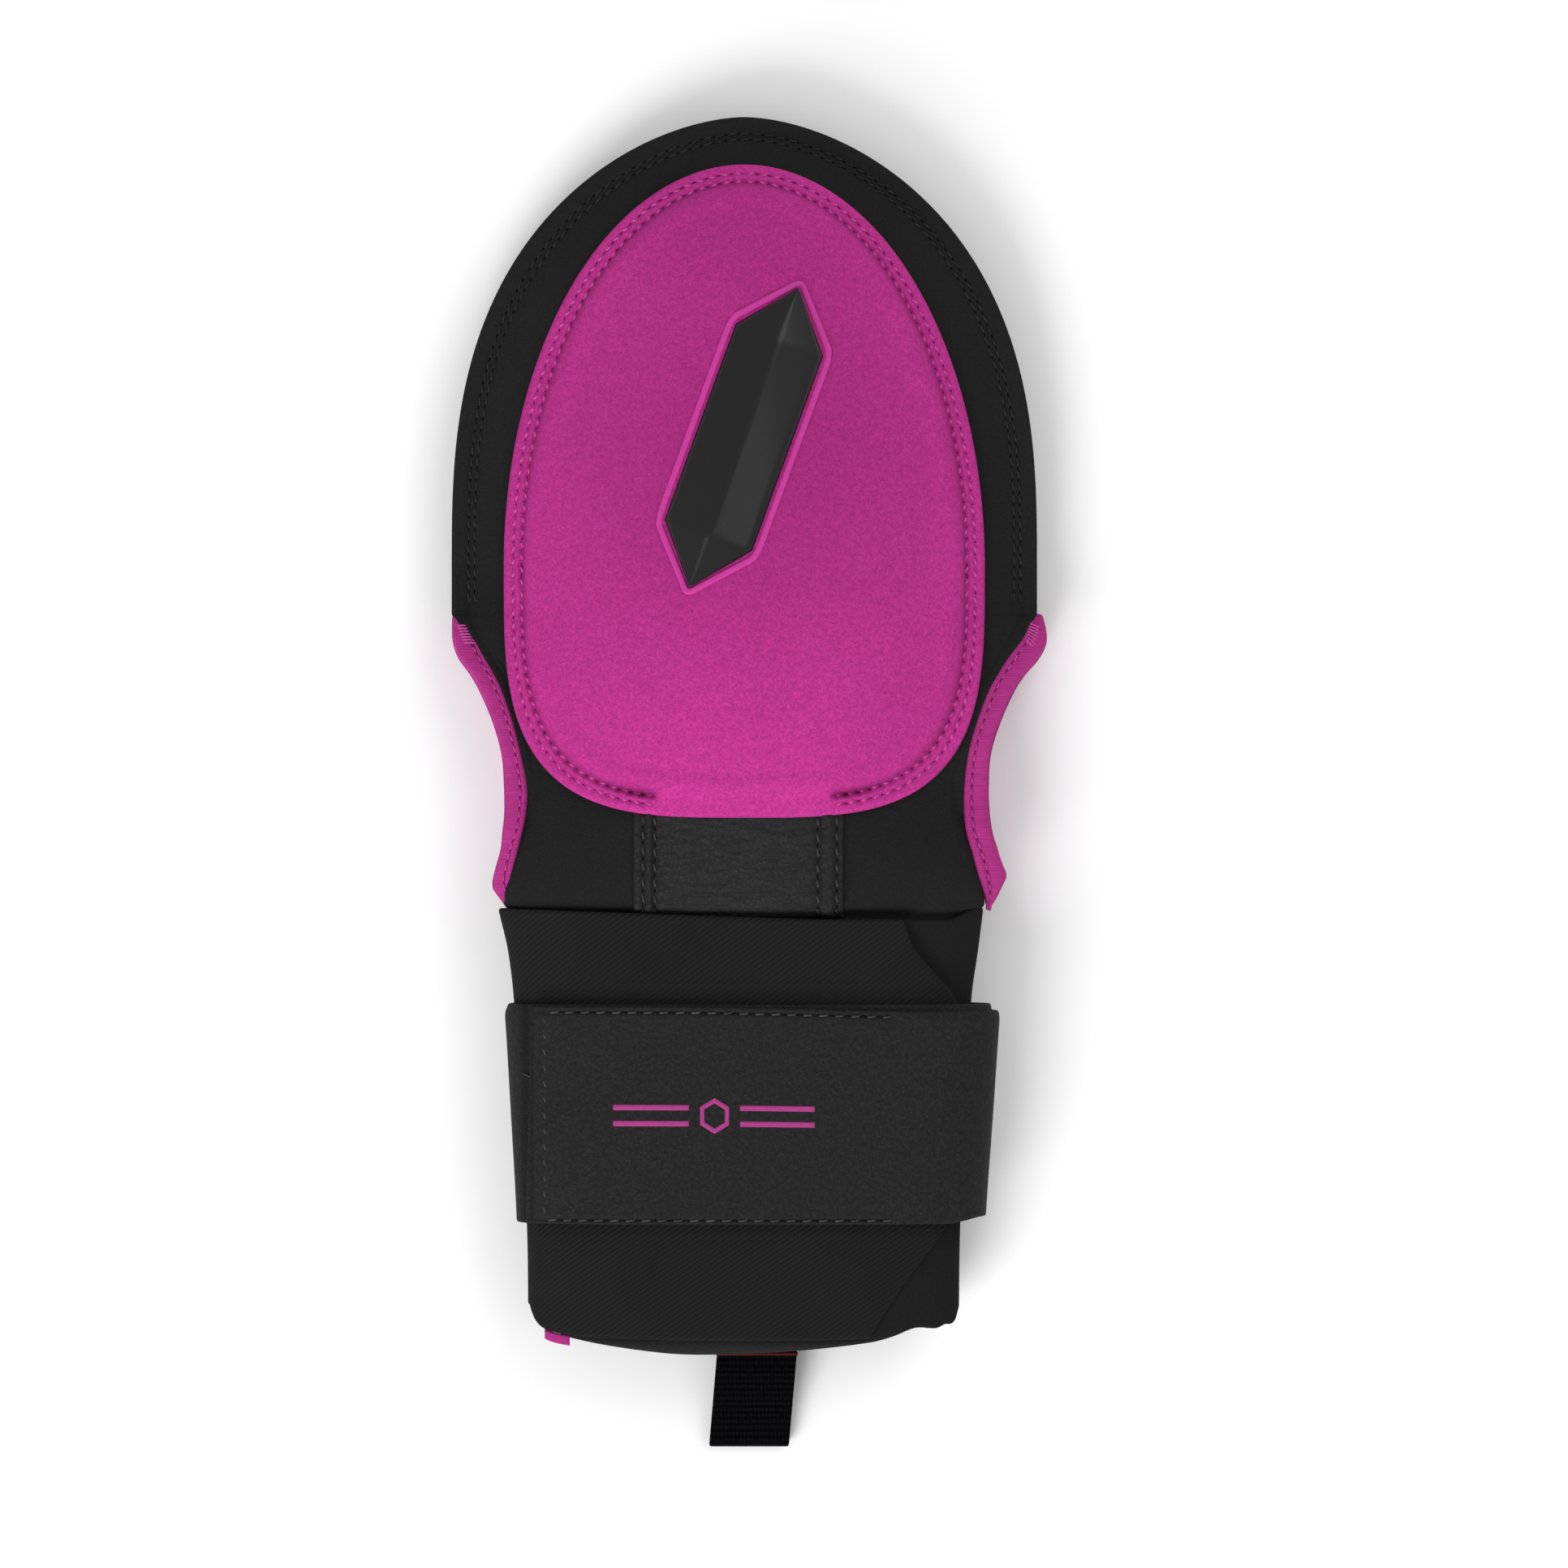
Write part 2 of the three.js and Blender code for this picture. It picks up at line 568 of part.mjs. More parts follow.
function cuff() {
  const face = (distance) => CUFF_ROWS.map((down) => (
    steps(RING_STEPS).slice(0, -1).map((share) => {
      const angle = share * 2 * Math.PI;
      const { x } = ringPoint(angle, lerp(CUFF_TOP_Y, HEM_Y, down), 0);
      return ringPoint(angle, lerp(CUFF_TOP_Y, hemY(x), down), distance);
    })
  ));
  return wall(face(0), face(-CUFF_WALL), { ring: true });
}

// Wrap: from its tapered end over the front, round the left side and along the palm side.
function wrap() {
  const face = (distance) => WRAP_END.map(({ down, out }) => {
    const y = lerp(CUFF_TOP_Y, WRAP_HEM_Y, down);
    const start = angleAt(out * WRIST_HALF_WIDTH, y, WRAP_INNER);
    return layerAngles(start, WRAP_TURN, WRAP_BACK_END).map((angle) => {
      const { x } = ringPoint(angle, y, WRAP_INNER);
      return ringPoint(angle, lerp(wrapTopY(x), wrapHemY(x), down), distance);
    });
  });
  return wall(face(WRAP_INNER + WRAP_WALL), face(WRAP_INNER));
}

// Strap layers, between two angles, standing off at the right side where the strap is slack.
function strapLayer(startAt, turn, end, innerDistance, thickness) {
  const face = (distance) => steps(STRAP_STEPS).map((down) => {
    const y = STRAP_TOP_Y - down * STRAP_WIDTH;
    const slack = lerp(STRAP_SLACK, STRAP_SLACK_LOWER, down);
    return layerAngles(startAt(y), turn, end).map((angle) => {
      const near = Math.cos((clamp(angle / STRAP_SLACK_ARC, -1, 1) * Math.PI) / 2) ** 2;
      return ringPoint(angle, y, distance + slack * near);
    });
  });
  return wall(face(innerDistance + thickness), face(innerDistance));
}

function strap() {
  return strapLayer(() => STRAP_LEFT_END, STRAP_TURN, STRAP_BACK_END, STRAP_INNER, STRAP_WALL);
}

function strapFace() {
  const leftEdge = (y) => angleAt(-FACE_LEFT_OUT, y, FACE_INNER);
  return strapLayer(leftEdge, STRAP_TURN, FACE_RIGHT_END, FACE_INNER, FACE_WALL);
}

// Pull tab: one strip of webbing, folded back on itself, from inside the cuff to the floor.
function pullTab() {
  const rootZ = WRIST_BOTTOM + CUFF_WALL + GAP;
  const length = TAB_ROOT + TAB_REACH;
  const lie = (share) => lerp(rootZ, GAP, smoothstep(share, (TAB_ROOT + CUFF_WALL) / length, 1));
  const outside = TAB_WEB + TAB_EYE / 2;
  const shares = steps(TAB_STEPS);
  const foldY = -length + outside;
  const leg = (offset) => shares.map((share) => (
    new THREE.Vector2(lerp(0, foldY, share), lie(share) + offset)
  ));
  const bend = (radius) => steps(TAB_BEND_STEPS).slice(1, -1).map((share) => {
    const turn = -Math.PI / 2 + share * Math.PI;
    return new THREE.Vector2(
      foldY - Math.cos(turn) * radius,
      GAP + outside + Math.sin(turn) * radius,
    );
  });
  const outline = [
    ...leg(0),
    ...bend(outside),
    ...leg(2 * outside).reverse(),
    ...leg(outside + TAB_EYE / 2),
    ...bend(TAB_EYE / 2).reverse(),
    ...leg(TAB_WEB).reverse(),
  ];
  const shape = new THREE.Shape(outline);
  const geometry = new THREE.ExtrudeGeometry(shape, { depth: TAB_WIDTH, bevelEnabled: false });
  // The shape is drawn with the hand's length across and the height up, and extruded sideways.
  geometry.applyMatrix4(new THREE.Matrix4().makeBasis(point(0, 1, 0), point(0, 0, 1), point(1, 0, 0)));
  geometry.translate(-TAB_WIDTH / 2, 0, 0);
  return geometry;
}

// Hem tag: a short folded ribbon on the cuff, just below the wrap's lower edge.
function hemTag() {
  const middle = -TAG_OUT * wristHalf(HEM_Y, "left");
  const face = (distance) => [0, 1].map((down) => steps(TAG_STEPS).map((share) => {
    const x = middle + (share - 0.5) * TAG_WIDTH;
    const y = wrapHemY(x) - GAP - down * TAG_LENGTH;
    return ringPoint(angleAt(x, y, 0), y, distance);
  }));
  return wall(face(GAP + TAG_WALL), face(GAP));
}

// Materials and assembly
const materials = {
  neoprene: new THREE.MeshStandardMaterial({ color: 0x232323, roughness: 0.85 }),
  pad: new THREE.MeshStandardMaterial({ color: 0xb8358a, roughness: 0.7 }),
  rubber: new THREE.MeshStandardMaterial({ color: 0x1c1c1d, roughness: 0.35 }),
  leather: new THREE.MeshStandardMaterial({ color: 0x2e2e2e, roughness: 0.6 }),
  binding: new THREE.MeshStandardMaterial({ color: 0x9e2d76, roughness: 0.75 }),
  knit: new THREE.MeshStandardMaterial({ color: 0x1f1f1f, roughness: 0.9 }),
  twill: new THREE.MeshStandardMaterial({ color: 0x242424, roughness: 0.85 }),
  webbing: new THREE.MeshStandardMaterial({ color: 0x0e0e11, roughness: 0.8 }),
};

const mitt = new THREE.Group();

function add(name, geometry, material) {
  const mesh = new THREE.Mesh(geometry, material);
  mesh.name = name;
  mitt.add(mesh);
  return mesh;
}

add("back_panel", panel(1), materials.neoprene);
add("palm_panel", panel(-1), materials.neoprene);
add("back_pad", pad(), materials.pad);
add("pad_boss", boss(), materials.rubber);
add("wrist_strip", strip(), materials.leather);
add("thumb_binding_left", binding(-1), materials.binding);
add("thumb_binding_right", binding(1), materials.binding);
add("cuff", cuff(), materials.knit);
add("elastic_wrap", wrap(), materials.twill);
add("closure_strap", strap(), materials.leather);
add("strap_face", strapFace(), materials.leather);
add("hem_tag", hemTag(), materials.binding);
const tab = add("pull_tab", pullTab(), materials.webbing);
tab.position.set(TAB_OFFSET, HEM_Y + TAB_ROOT, 0);
tab.rotation.z = TAB_SLANT;

// The origin is under the middle of the whole mitt.
mitt.updateMatrixWorld(true);
const extent = new THREE.Box3().setFromObject(mitt, true);
const middle = extent.getCenter(new THREE.Vector3());
mitt.position.set(-middle.x, -middle.y, -extent.min.z);

export default mitt;
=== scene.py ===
"""A padded sliding mitt on a pale floor, seen from straight above its back.

Lengths inside the sections are millimetres from the middle of the wrist band's upper edge, with
+y towards the fingertips. They become metres in the model's frame when a mesh is made.
"""

import bpy
import numpy as np
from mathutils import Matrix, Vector


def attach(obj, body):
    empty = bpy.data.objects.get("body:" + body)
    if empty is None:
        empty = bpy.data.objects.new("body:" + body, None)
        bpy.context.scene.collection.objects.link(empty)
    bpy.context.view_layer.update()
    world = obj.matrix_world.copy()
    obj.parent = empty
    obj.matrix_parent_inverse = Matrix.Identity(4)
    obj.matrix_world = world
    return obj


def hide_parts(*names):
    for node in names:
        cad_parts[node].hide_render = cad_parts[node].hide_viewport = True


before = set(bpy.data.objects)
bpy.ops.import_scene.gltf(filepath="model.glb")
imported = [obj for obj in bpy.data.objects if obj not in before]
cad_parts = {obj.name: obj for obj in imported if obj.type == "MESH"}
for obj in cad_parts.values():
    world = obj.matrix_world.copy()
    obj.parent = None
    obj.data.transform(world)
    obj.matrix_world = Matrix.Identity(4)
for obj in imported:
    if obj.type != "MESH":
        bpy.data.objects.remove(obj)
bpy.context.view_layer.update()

# Camera: straight above the back of the mitt, as for a flat picture in a shop, from so far
# away that it hardly sees perspective. The picture is 1932 px wide, at 5.2 px per mm.
PHOTO_WIDTH_M = 1932 / 5200
SENSOR_MM = 36
PHOTO_CENTRE = (0.0094, -0.0005)
CAMERA_DISTANCE = 2.4
FOCUS_HEIGHT = 0.014
camera_data = bpy.data.cameras.new("camera")
camera_data.sensor_width = SENSOR_MM
camera_data.lens = SENSOR_MM * CAMERA_DISTANCE / PHOTO_WIDTH_M
camera_data.clip_start = 0.1
camera_data.clip_end = 20
camera = bpy.data.objects.new("camera", camera_data)
camera.location = (*PHOTO_CENTRE, FOCUS_HEIGHT + CAMERA_DISTANCE)
bpy.context.collection.objects.link(camera)
bpy.context.scene.camera = camera
bpy.context.scene.view_settings.view_transform = "Standard"

# Light: a bright even room, a large soft key lamp from the lower left, a wide fill lamp from
# the upper right, and a small weak lamp that lightens the right edge.
ROOM_LIGHT = 0.62
LAMPS = [
    {"name": "key", "place": (-0.75, -1.25, 1.0), "size": 1.1, "watts": 24.5},
    {"name": "fill", "place": (0.9, 0.9, 1.2), "size": 1.4, "watts": 8.5},
    {"name": "edge", "place": (0.78, -0.25, 1.15), "size": 0.5, "watts": 0.8},
]
world = bpy.data.worlds.new("room")
world.use_nodes = True
world.node_tree.nodes["Background"].inputs["Color"].default_value = (1, 1, 1, 1)
world.node_tree.nodes["Background"].inputs["Strength"].default_value = ROOM_LIGHT
bpy.context.scene.world = world
for row in LAMPS:
    lamp_data = bpy.data.lights.new(row["name"], "AREA")
    lamp_data.shape = "DISK"
    lamp_data.size = row["size"]
    lamp_data.energy = row["watts"]
    lamp = bpy.data.objects.new(row["name"], lamp_data)
    lamp.location = row["place"]
    lamp.rotation_mode = "QUATERNION"
    lamp.rotation_quaternion = (-Vector(row["place"])).to_track_quat("-Z", "Y")
    bpy.context.collection.objects.link(lamp)

# Floor: one wide sheet of matt pale paper. It lies a hair under the mitt, so that the two
# never share a face, and it is only staged.
FLOOR_HALF = 6.0
FLOOR_DROP = 0.0002
FLOOR_CORNERS = ((-1, -1), (1, -1), (1, 1), (-1, 1))
floor_mesh = bpy.data.meshes.new("floor")
floor_mesh.from_pydata(
    [(x * FLOOR_HALF, y * FLOOR_HALF, -FLOOR_DROP) for x, y in FLOOR_CORNERS],
    [],
    [(0, 1, 2, 3)],
)
floor = bpy.data.objects.new("floor", floor_mesh)
bpy.context.collection.objects.link(floor)
floor_look = bpy.data.materials.new("floor")
floor_look.use_nodes = True
floor_shader = floor_look.node_tree.nodes["Principled BSDF"]
floor_shader.inputs["Base Color"].default_value = (0.93, 0.93, 0.935, 1)
floor_shader.inputs["Roughness"].default_value = 0.9
floor_shader.inputs["Specular IOR Level"].default_value = 0.1
floor_mesh.materials.append(floor_look)

# Hand pouch: a back and a palm of black neoprene, sewn together round the fingertips with two
# rows of stitches, open at both sides for the thumb, and tucked into the wrist sleeve.
FRAME_Y = 32.352  # from the wrist band's upper edge to the middle of the mitt
WRIST_HALF = 56.0
WRIST_HEIGHT = 27.0
WRIST_LENGTH = 102.5
RING_POWER = 2.6  # 2 would make the wrist's section an ellipse
RING_Z = 16.9  # middle of the wrist's section over the floor
WRIST_TAPER = [
    {"down": -0.04, "left": 1.013, "right": 1.014},
    {"down": 0, "left": 0.996, "right": 1.005},
    {"down": 0.07, "left": 0.966, "right": 0.989},
    {"down": 0.18, "left": 0.941, "right": 0.961},
    {"down": 0.44, "left": 0.911, "right": 0.936},
    {"down": 0.72, "left": 0.884, "right": 0.912},
    {"down": 1, "left": 0.879, "right": 0.907},
]
HAND_HALF = 69.4
TIP_LENGTH = 104.8
THUMB_LENGTH = 67.7
NECK = 4.4  # from the wrist band to the thumb openings
OPEN_TOP = NECK + THUMB_LENGTH
OPEN_MID = NECK + THUMB_LENGTH / 2
WIDEST = OPEN_TOP + 13.1
TIP_POWERS = (2.7, 1.75)
TIP_RUN = 42.0  # from the sewn lip to the full height
PANEL_WALL = 2.5
LIP = 4.5  # flat sewn edge
TUCK_LENGTH = 8.0
TUCK_START = 3.4
TUCK_DEPTH = 2.5
SEAM_GAP = 0.3
THUMB_GAPE = 7.5
GAPE_POWER = 0.85
HAND_HEIGHT = 31.0
SEAM_Z = 11.0
PALM_FLAT = 0.55  # share of the palm that lies flat on the floor
EASE_STEPS = np.linspace(-14, 14, 9)  # ways up and down over which the dome is evened out
SEAM_ROWS = (4.0, 5.5)
SEAM_REACH = 0.45
SEAM_DIP = 0.22
THREAD_SINK = 0.12
PANEL_INSETS = np.concatenate([
    [0, 0.1, 0.3, 0.7, 1.2, 1.8, 2.5, 3.1, 3.6, 4, 4.4, 4.75],
    [5.1, 5.5, 5.9, 6.4, 7.2, 8.4],
])
PANEL_FAN = 25  # lines from the last inset to the middle of the panel
PANEL_INSIDE = 20.0  # an inset that no row of stitches reaches
EDGE_THICKNESS = 0.08  # share of a sheet's thickness left at its very edge
HOLE_SIDES = 8
HOLE_CROWN = 0.06
HOLE_DEPTH = 0.2
THREAD_ALONG = np.array([-1, -0.86, -0.5, 0, 0.5, 0.86, 1])
THREAD_GIRTH = np.array([0.25, 0.75, 1, 1, 1, 0.75, 0.25])
THREAD_ARCH = 2.2
THREAD_FLAT = 0.4
THREAD_SIDES = 6
THREAD_STEP = 0.3
EASE_SPAN = (0.5, 0.97)
THUMB_EDGE = [
    {"down": 0, "out": 1},
    {"down": 0.09, "out": 0.955},
    {"down": 0.204, "out": 0.885},
    {"down": 0.318, "out": 0.832},
    {"down": 0.431, "out": 0.798},
    {"down": 0.6, "out": 0.77},
    {"down": 0.715, "out": 0.773},
    {"down": 0.829, "out": 0.797},
    {"down": 0.943, "out": 0.818},
    {"down": 1, "out": 0.82},
]


def finish_node(tree, kind, inputs, **settings):
    """Shader node of a kind: an input that is a socket is linked, any other is its value."""
    made = tree.nodes.new(kind)
    for key, value in settings.items():
        setattr(made, key, value)
    for key, value in inputs.items():
        if isinstance(value, bpy.types.NodeSocket):
            tree.links.new(value, made.inputs[key])
        else:
            made.inputs[key].default_value = value
    return made


def finish_math(tree, operation, first, second=0.0):
    """First and second joined by the operation."""
    both = {0: first, 1: second}
    return finish_node(tree, "ShaderNodeMath", both, operation=operation).outputs[0]


def finish_range(tree, value, low, high, eased=False):
    """Value moved so that low becomes 0 and high becomes 1, in an S if it is eased."""
    kind = "SMOOTHSTEP" if eased else "LINEAR"
    ends = {"Value": value, "From Min": low, "From Max": high}
    return finish_node(tree, "ShaderNodeMapRange", ends, interpolation_type=kind).outputs[0]


def finish_vector(tree, operation, place, other):
    """A place and another vector joined by the operation, with a vector and a value out."""
    return finish_node(tree, "ShaderNodeVectorMath", {0: place, 1: other}, operation=operation)


def finish_pattern(tree, row, place):
    """A value from 0 to 1 over the surface, with features of the row's size in metres. A spot
    grows with the distance from its middle, a slope along an axis, both in an S. Noise is
    spread out to reach 0 and 1, and streaks are noise on a stretched place. Pebbles fall
    from the middle of each cell. Waves are half of a sine along an axis, plus a half."""
    kind = row["kind"]
    size = row.get("size", 1.0)
    if kind == "painted":
        return finish_node(tree, "ShaderNodeAttribute", {}, attribute_name="shade").outputs["Fac"]
    if kind == "spot":
        away = finish_vector(tree, "DISTANCE", place, row["middle"]).outputs["Value"]
        return finish_range(tree, away, 0.0, size, eased=True)
    if kind in ("noise", "streaks"):
        if kind == "streaks":
            place = finish_vector(tree, "MULTIPLY", place, row["stretch"]).outputs[0]
        inputs = {"Vector": place, "Scale": 1 / size, "Detail": row.get("detail", 2.0)}
        value = finish_node(tree, "ShaderNodeTexNoise", inputs).outputs["Fac"]
        return finish_range(tree, value, 0.3, 0.7)
    if kind == "pebbles":
        inputs = {"Vector": place, "Scale": 1 / size, "Smoothness": 0.3}
        cells = finish_node(tree, "ShaderNodeTexVoronoi", inputs, feature="SMOOTH_F1")
        return finish_range(tree, cells.outputs["Distance"], 0.6, 0.1)
    along = finish_vector(tree, "DOT_PRODUCT", place, (*row["across"], 0)).outputs["Value"]
    if kind == "slope":
        return finish_range(tree, along, row["start"], row["start"] + size, eased=True)
    wave = finish_math(tree, "SINE", finish_math(tree, "MULTIPLY", along, 2 * np.pi / size))
    return finish_math(tree, "ADD", finish_math(tree, "MULTIPLY", wave, 0.5), 0.5)


def cloth_finish(name, light, dark, rough, gloss, rows, coordinates="Object", sheen=0.0):
    """Material between a dark and a light colour, by the product of its pattern rows, each
    1 less its darkness where its pattern is 0. Its bump is the sum of the patterns times
    their rises."""
    made = bpy.data.materials.new(name)
    made.use_nodes = True
    tree = made.node_tree
    shader = tree.nodes["Principled BSDF"]
    place = finish_node(tree, "ShaderNodeTexCoord", {}).outputs[coordinates]
    shade = 1.0
    height = 0.0
    for row in rows:
        value = finish_pattern(tree, row, place)
        lost = finish_math(tree, "MULTIPLY", finish_math(tree, "SUBTRACT", 1.0, value), row["dark"])
        shade = finish_math(tree, "MULTIPLY", finish_math(tree, "SUBTRACT", 1.0, lost), shade)
        height = finish_math(tree, "ADD", finish_math(tree, "MULTIPLY", value, row["rise"]), height)
    mixed = tree.nodes.new("ShaderNodeMix")
    mixed.data_type = "RGBA"
    mixed.inputs[6].default_value = (*dark, 1)
    mixed.inputs[7].default_value = (*light, 1)
    tree.links.new(shade, mixed.inputs[0])
    tree.links.new(mixed.outputs[2], shader.inputs["Base Color"])
    bump = finish_node(tree, "ShaderNodeBump", {"Strength": 1.0, "Distance": 1.0, "Height": height})
    tree.links.new(bump.outputs[0], shader.inputs["Normal"])
    shader.inputs["Roughness"].default_value = rough
    shader.inputs["Specular IOR Level"].default_value = gloss
    shader.inputs["Sheen Weight"].default_value = sheen
    shader.inputs["Sheen Roughness"].default_value = 0.5
    shader.inputs["Sheen Tint"].default_value = (*light, 1)
    return made


def thread_finish(name, light, dark, rough, gloss, size, share, rise=0.0):
    """Material with one fine noise, for thread, needle holes, piping and ink."""
    rows = [{"kind": "noise", "size": size, "dark": share, "rise": rise}]
    return cloth_finish(name, light, dark, rough, gloss, rows)


def closed_mesh(name, points, quads, uv, material, shade=None):
    """Object from points in millimetres and faces of four corners. Points equal to a
    thousandth become one. A corner equal to the one before it is dropped, and a face stays
    where three or four different corners are left."""
    _, first, inverse = np.unique(
        np.round(points, 3), axis=0, return_index=True, return_inverse=True
    )
    corners = inverse.reshape(-1)[quads]
    kept = corners != np.roll(corners, 1, axis=1)
    sides = kept.sum(axis=1)
    folded = (corners[:, 0] == corners[:, 2]) | (corners[:, 1] == corners[:, 3])
    whole = (sides == 3) | ((sides == 4) & ~folded)
    kept = kept & whole[:, None]
    sides = sides[whole]
    metres = (points[first] - (0, FRAME_Y, 0)) * 0.001
    mesh = bpy.data.meshes.new(name)
    mesh.vertices.add(len(metres))
    mesh.vertices.foreach_set("co", metres.ravel())
    mesh.loops.add(int(sides.sum()))
    mesh.loops.foreach_set("vertex_index", corners[kept].astype(np.int32))
    mesh.polygons.add(len(sides))
    mesh.polygons.foreach_set("loop_start", (np.cumsum(sides) - sides).astype(np.int32))
    mesh.polygons.foreach_set("use_smooth", [True] * len(sides))
    mesh.update(calc_edges=True)
    layer = mesh.uv_layers.new(name="UVMap")
    layer.data.foreach_set("uv", (uv[quads[kept]] * 0.001).ravel())
    mesh.materials.append(material)
    if shade is not None:
        painted = mesh.attributes.new("shade", "FLOAT", "POINT")
        painted.data.foreach_set("value", shade[first])
    made = bpy.data.objects.new(name, mesh)
    bpy.context.collection.objects.link(made)
    return made


def cloth_run(points, axis):
    """Distance run along the lines of a grid, from their first point."""
    steps = np.linalg.norm(np.diff(points, axis=axis), axis=2)
    first = np.zeros_like(np.take(steps, [0], axis=axis))
    return np.concatenate([first, np.cumsum(steps, axis=axis)], axis=axis)


def grid_faces(rows, columns, start=0):
    """Corners of the faces of a grid whose points lie row after row."""
    a = start + np.arange(rows - 1)[:, None] * columns + np.arange(columns - 1)[None, :]
    a = a.ravel()
    return np.stack([a, a + 1, a + columns + 1, a + columns], axis=1)


def cloth_sheet(
    name, outer, inner, material, rim, open_borders="tblr", uv=None, flip=False, shade=None
):
    """Closed sheet between two grids. Within rim millimetres of each open border (top and
    bottom row, left and right column) the two faces draw together in a quarter circle."""
    middle = (outer + inner) / 2
    half = (outer - inner) / 2
    down = cloth_run(middle, 0)
    over = cloth_run(middle, 1)
    near = {"t": down, "b": down[-1:] - down, "l": over, "r": over[:, -1:] - over}
    edge = np.full(down.shape, rim)
    for border in open_borders:
        edge = np.minimum(edge, near[border])
    full = np.sqrt(1 - (1 - np.clip(edge / rim, 0, 1)) ** 2)
    half = half * np.maximum(full, EDGE_THICKNESS)[..., None]
    rows, columns = down.shape
    if uv is None:
        uv = np.stack([over - over[:, columns // 2][:, None], down], axis=2)
    points = np.concatenate([(middle + half).reshape(-1, 3), (middle - half).reshape(-1, 3)])
    top = grid_faces(rows, columns)
    under = grid_faces(rows, columns, rows * columns)[:, ::-1]
    count = rows * columns
    borders = {
        "t": np.arange(columns),
        "b": (rows - 1) * columns + np.arange(columns)[::-1],
        "l": np.arange(rows)[::-1] * columns,
        "r": np.arange(rows) * columns + columns - 1,
    }
    quads = [top, under]
    for border in open_borders:
        line = borders[border]
        ends = [line[1:], line[:-1], line[:-1] + count, line[1:] + count]
        quads.append(np.stack(ends, axis=1))
    quads = np.concatenate(quads)
    if flip:
        quads = quads[:, ::-1]
    places = np.concatenate([uv.reshape(-1, 2)] * 2)
    if shade is not None:
        shade = np.concatenate([np.broadcast_to(shade, down.shape).ravel()] * 2)
    return closed_mesh(name, points, quads, places, material, shade)


def unit_length(vectors):
    """Vectors divided by their lengths."""
    return vectors / np.maximum(np.linalg.norm(vectors, axis=-1, keepdims=True), 1e-9)


def bell(x, middle, reach):
    """1 at the middle, falling away on both sides: e to the power of minus the square of the
    distance, counted in reaches."""
    return np.exp(-(((x - middle) / reach) ** 2))


def needle_holes(name, centres, heading, side, up, material, length, width):
    """Flat lenses at the centres: an ellipse with half axes length along the heading and width
    to the side, closed by a point above its middle and one below."""
    turn = np.linspace(0, 2 * np.pi, HOLE_SIDES + 1)[:-1]
    rim = (
        centres[:, None]
        + heading[:, None] * (np.cos(turn) * length)[None, :, None]
        + side[:, None] * (np.sin(turn) * width)[None, :, None]
    )
    ends = np.stack([centres + up * HOLE_CROWN, centres - up * HOLE_DEPTH], axis=1)
    points = np.concatenate([rim, ends], axis=1)
    a = np.arange(HOLE_SIDES)
    b = (a + 1) % HOLE_SIDES
    crown = np.full(HOLE_SIDES, HOLE_SIDES)
    top = np.stack([a, b, crown, crown], axis=1)
    under = np.stack([b, a, crown + 1, crown + 1], axis=1)
    first = np.arange(len(centres)) * (HOLE_SIDES + 2)
    quads = np.concatenate([top, under])[None] + first[:, None, None]
    flat = points.reshape(-1, 3)
    return closed_mesh(name, flat, quads.reshape(-1, 4), flat[:, :2], material)


def at_distance(at, run, points):
    """Values at distances along a path, straight between those at its points."""
    return np.stack([np.interp(at, run, points[:, i]) for i in range(3)], axis=1)


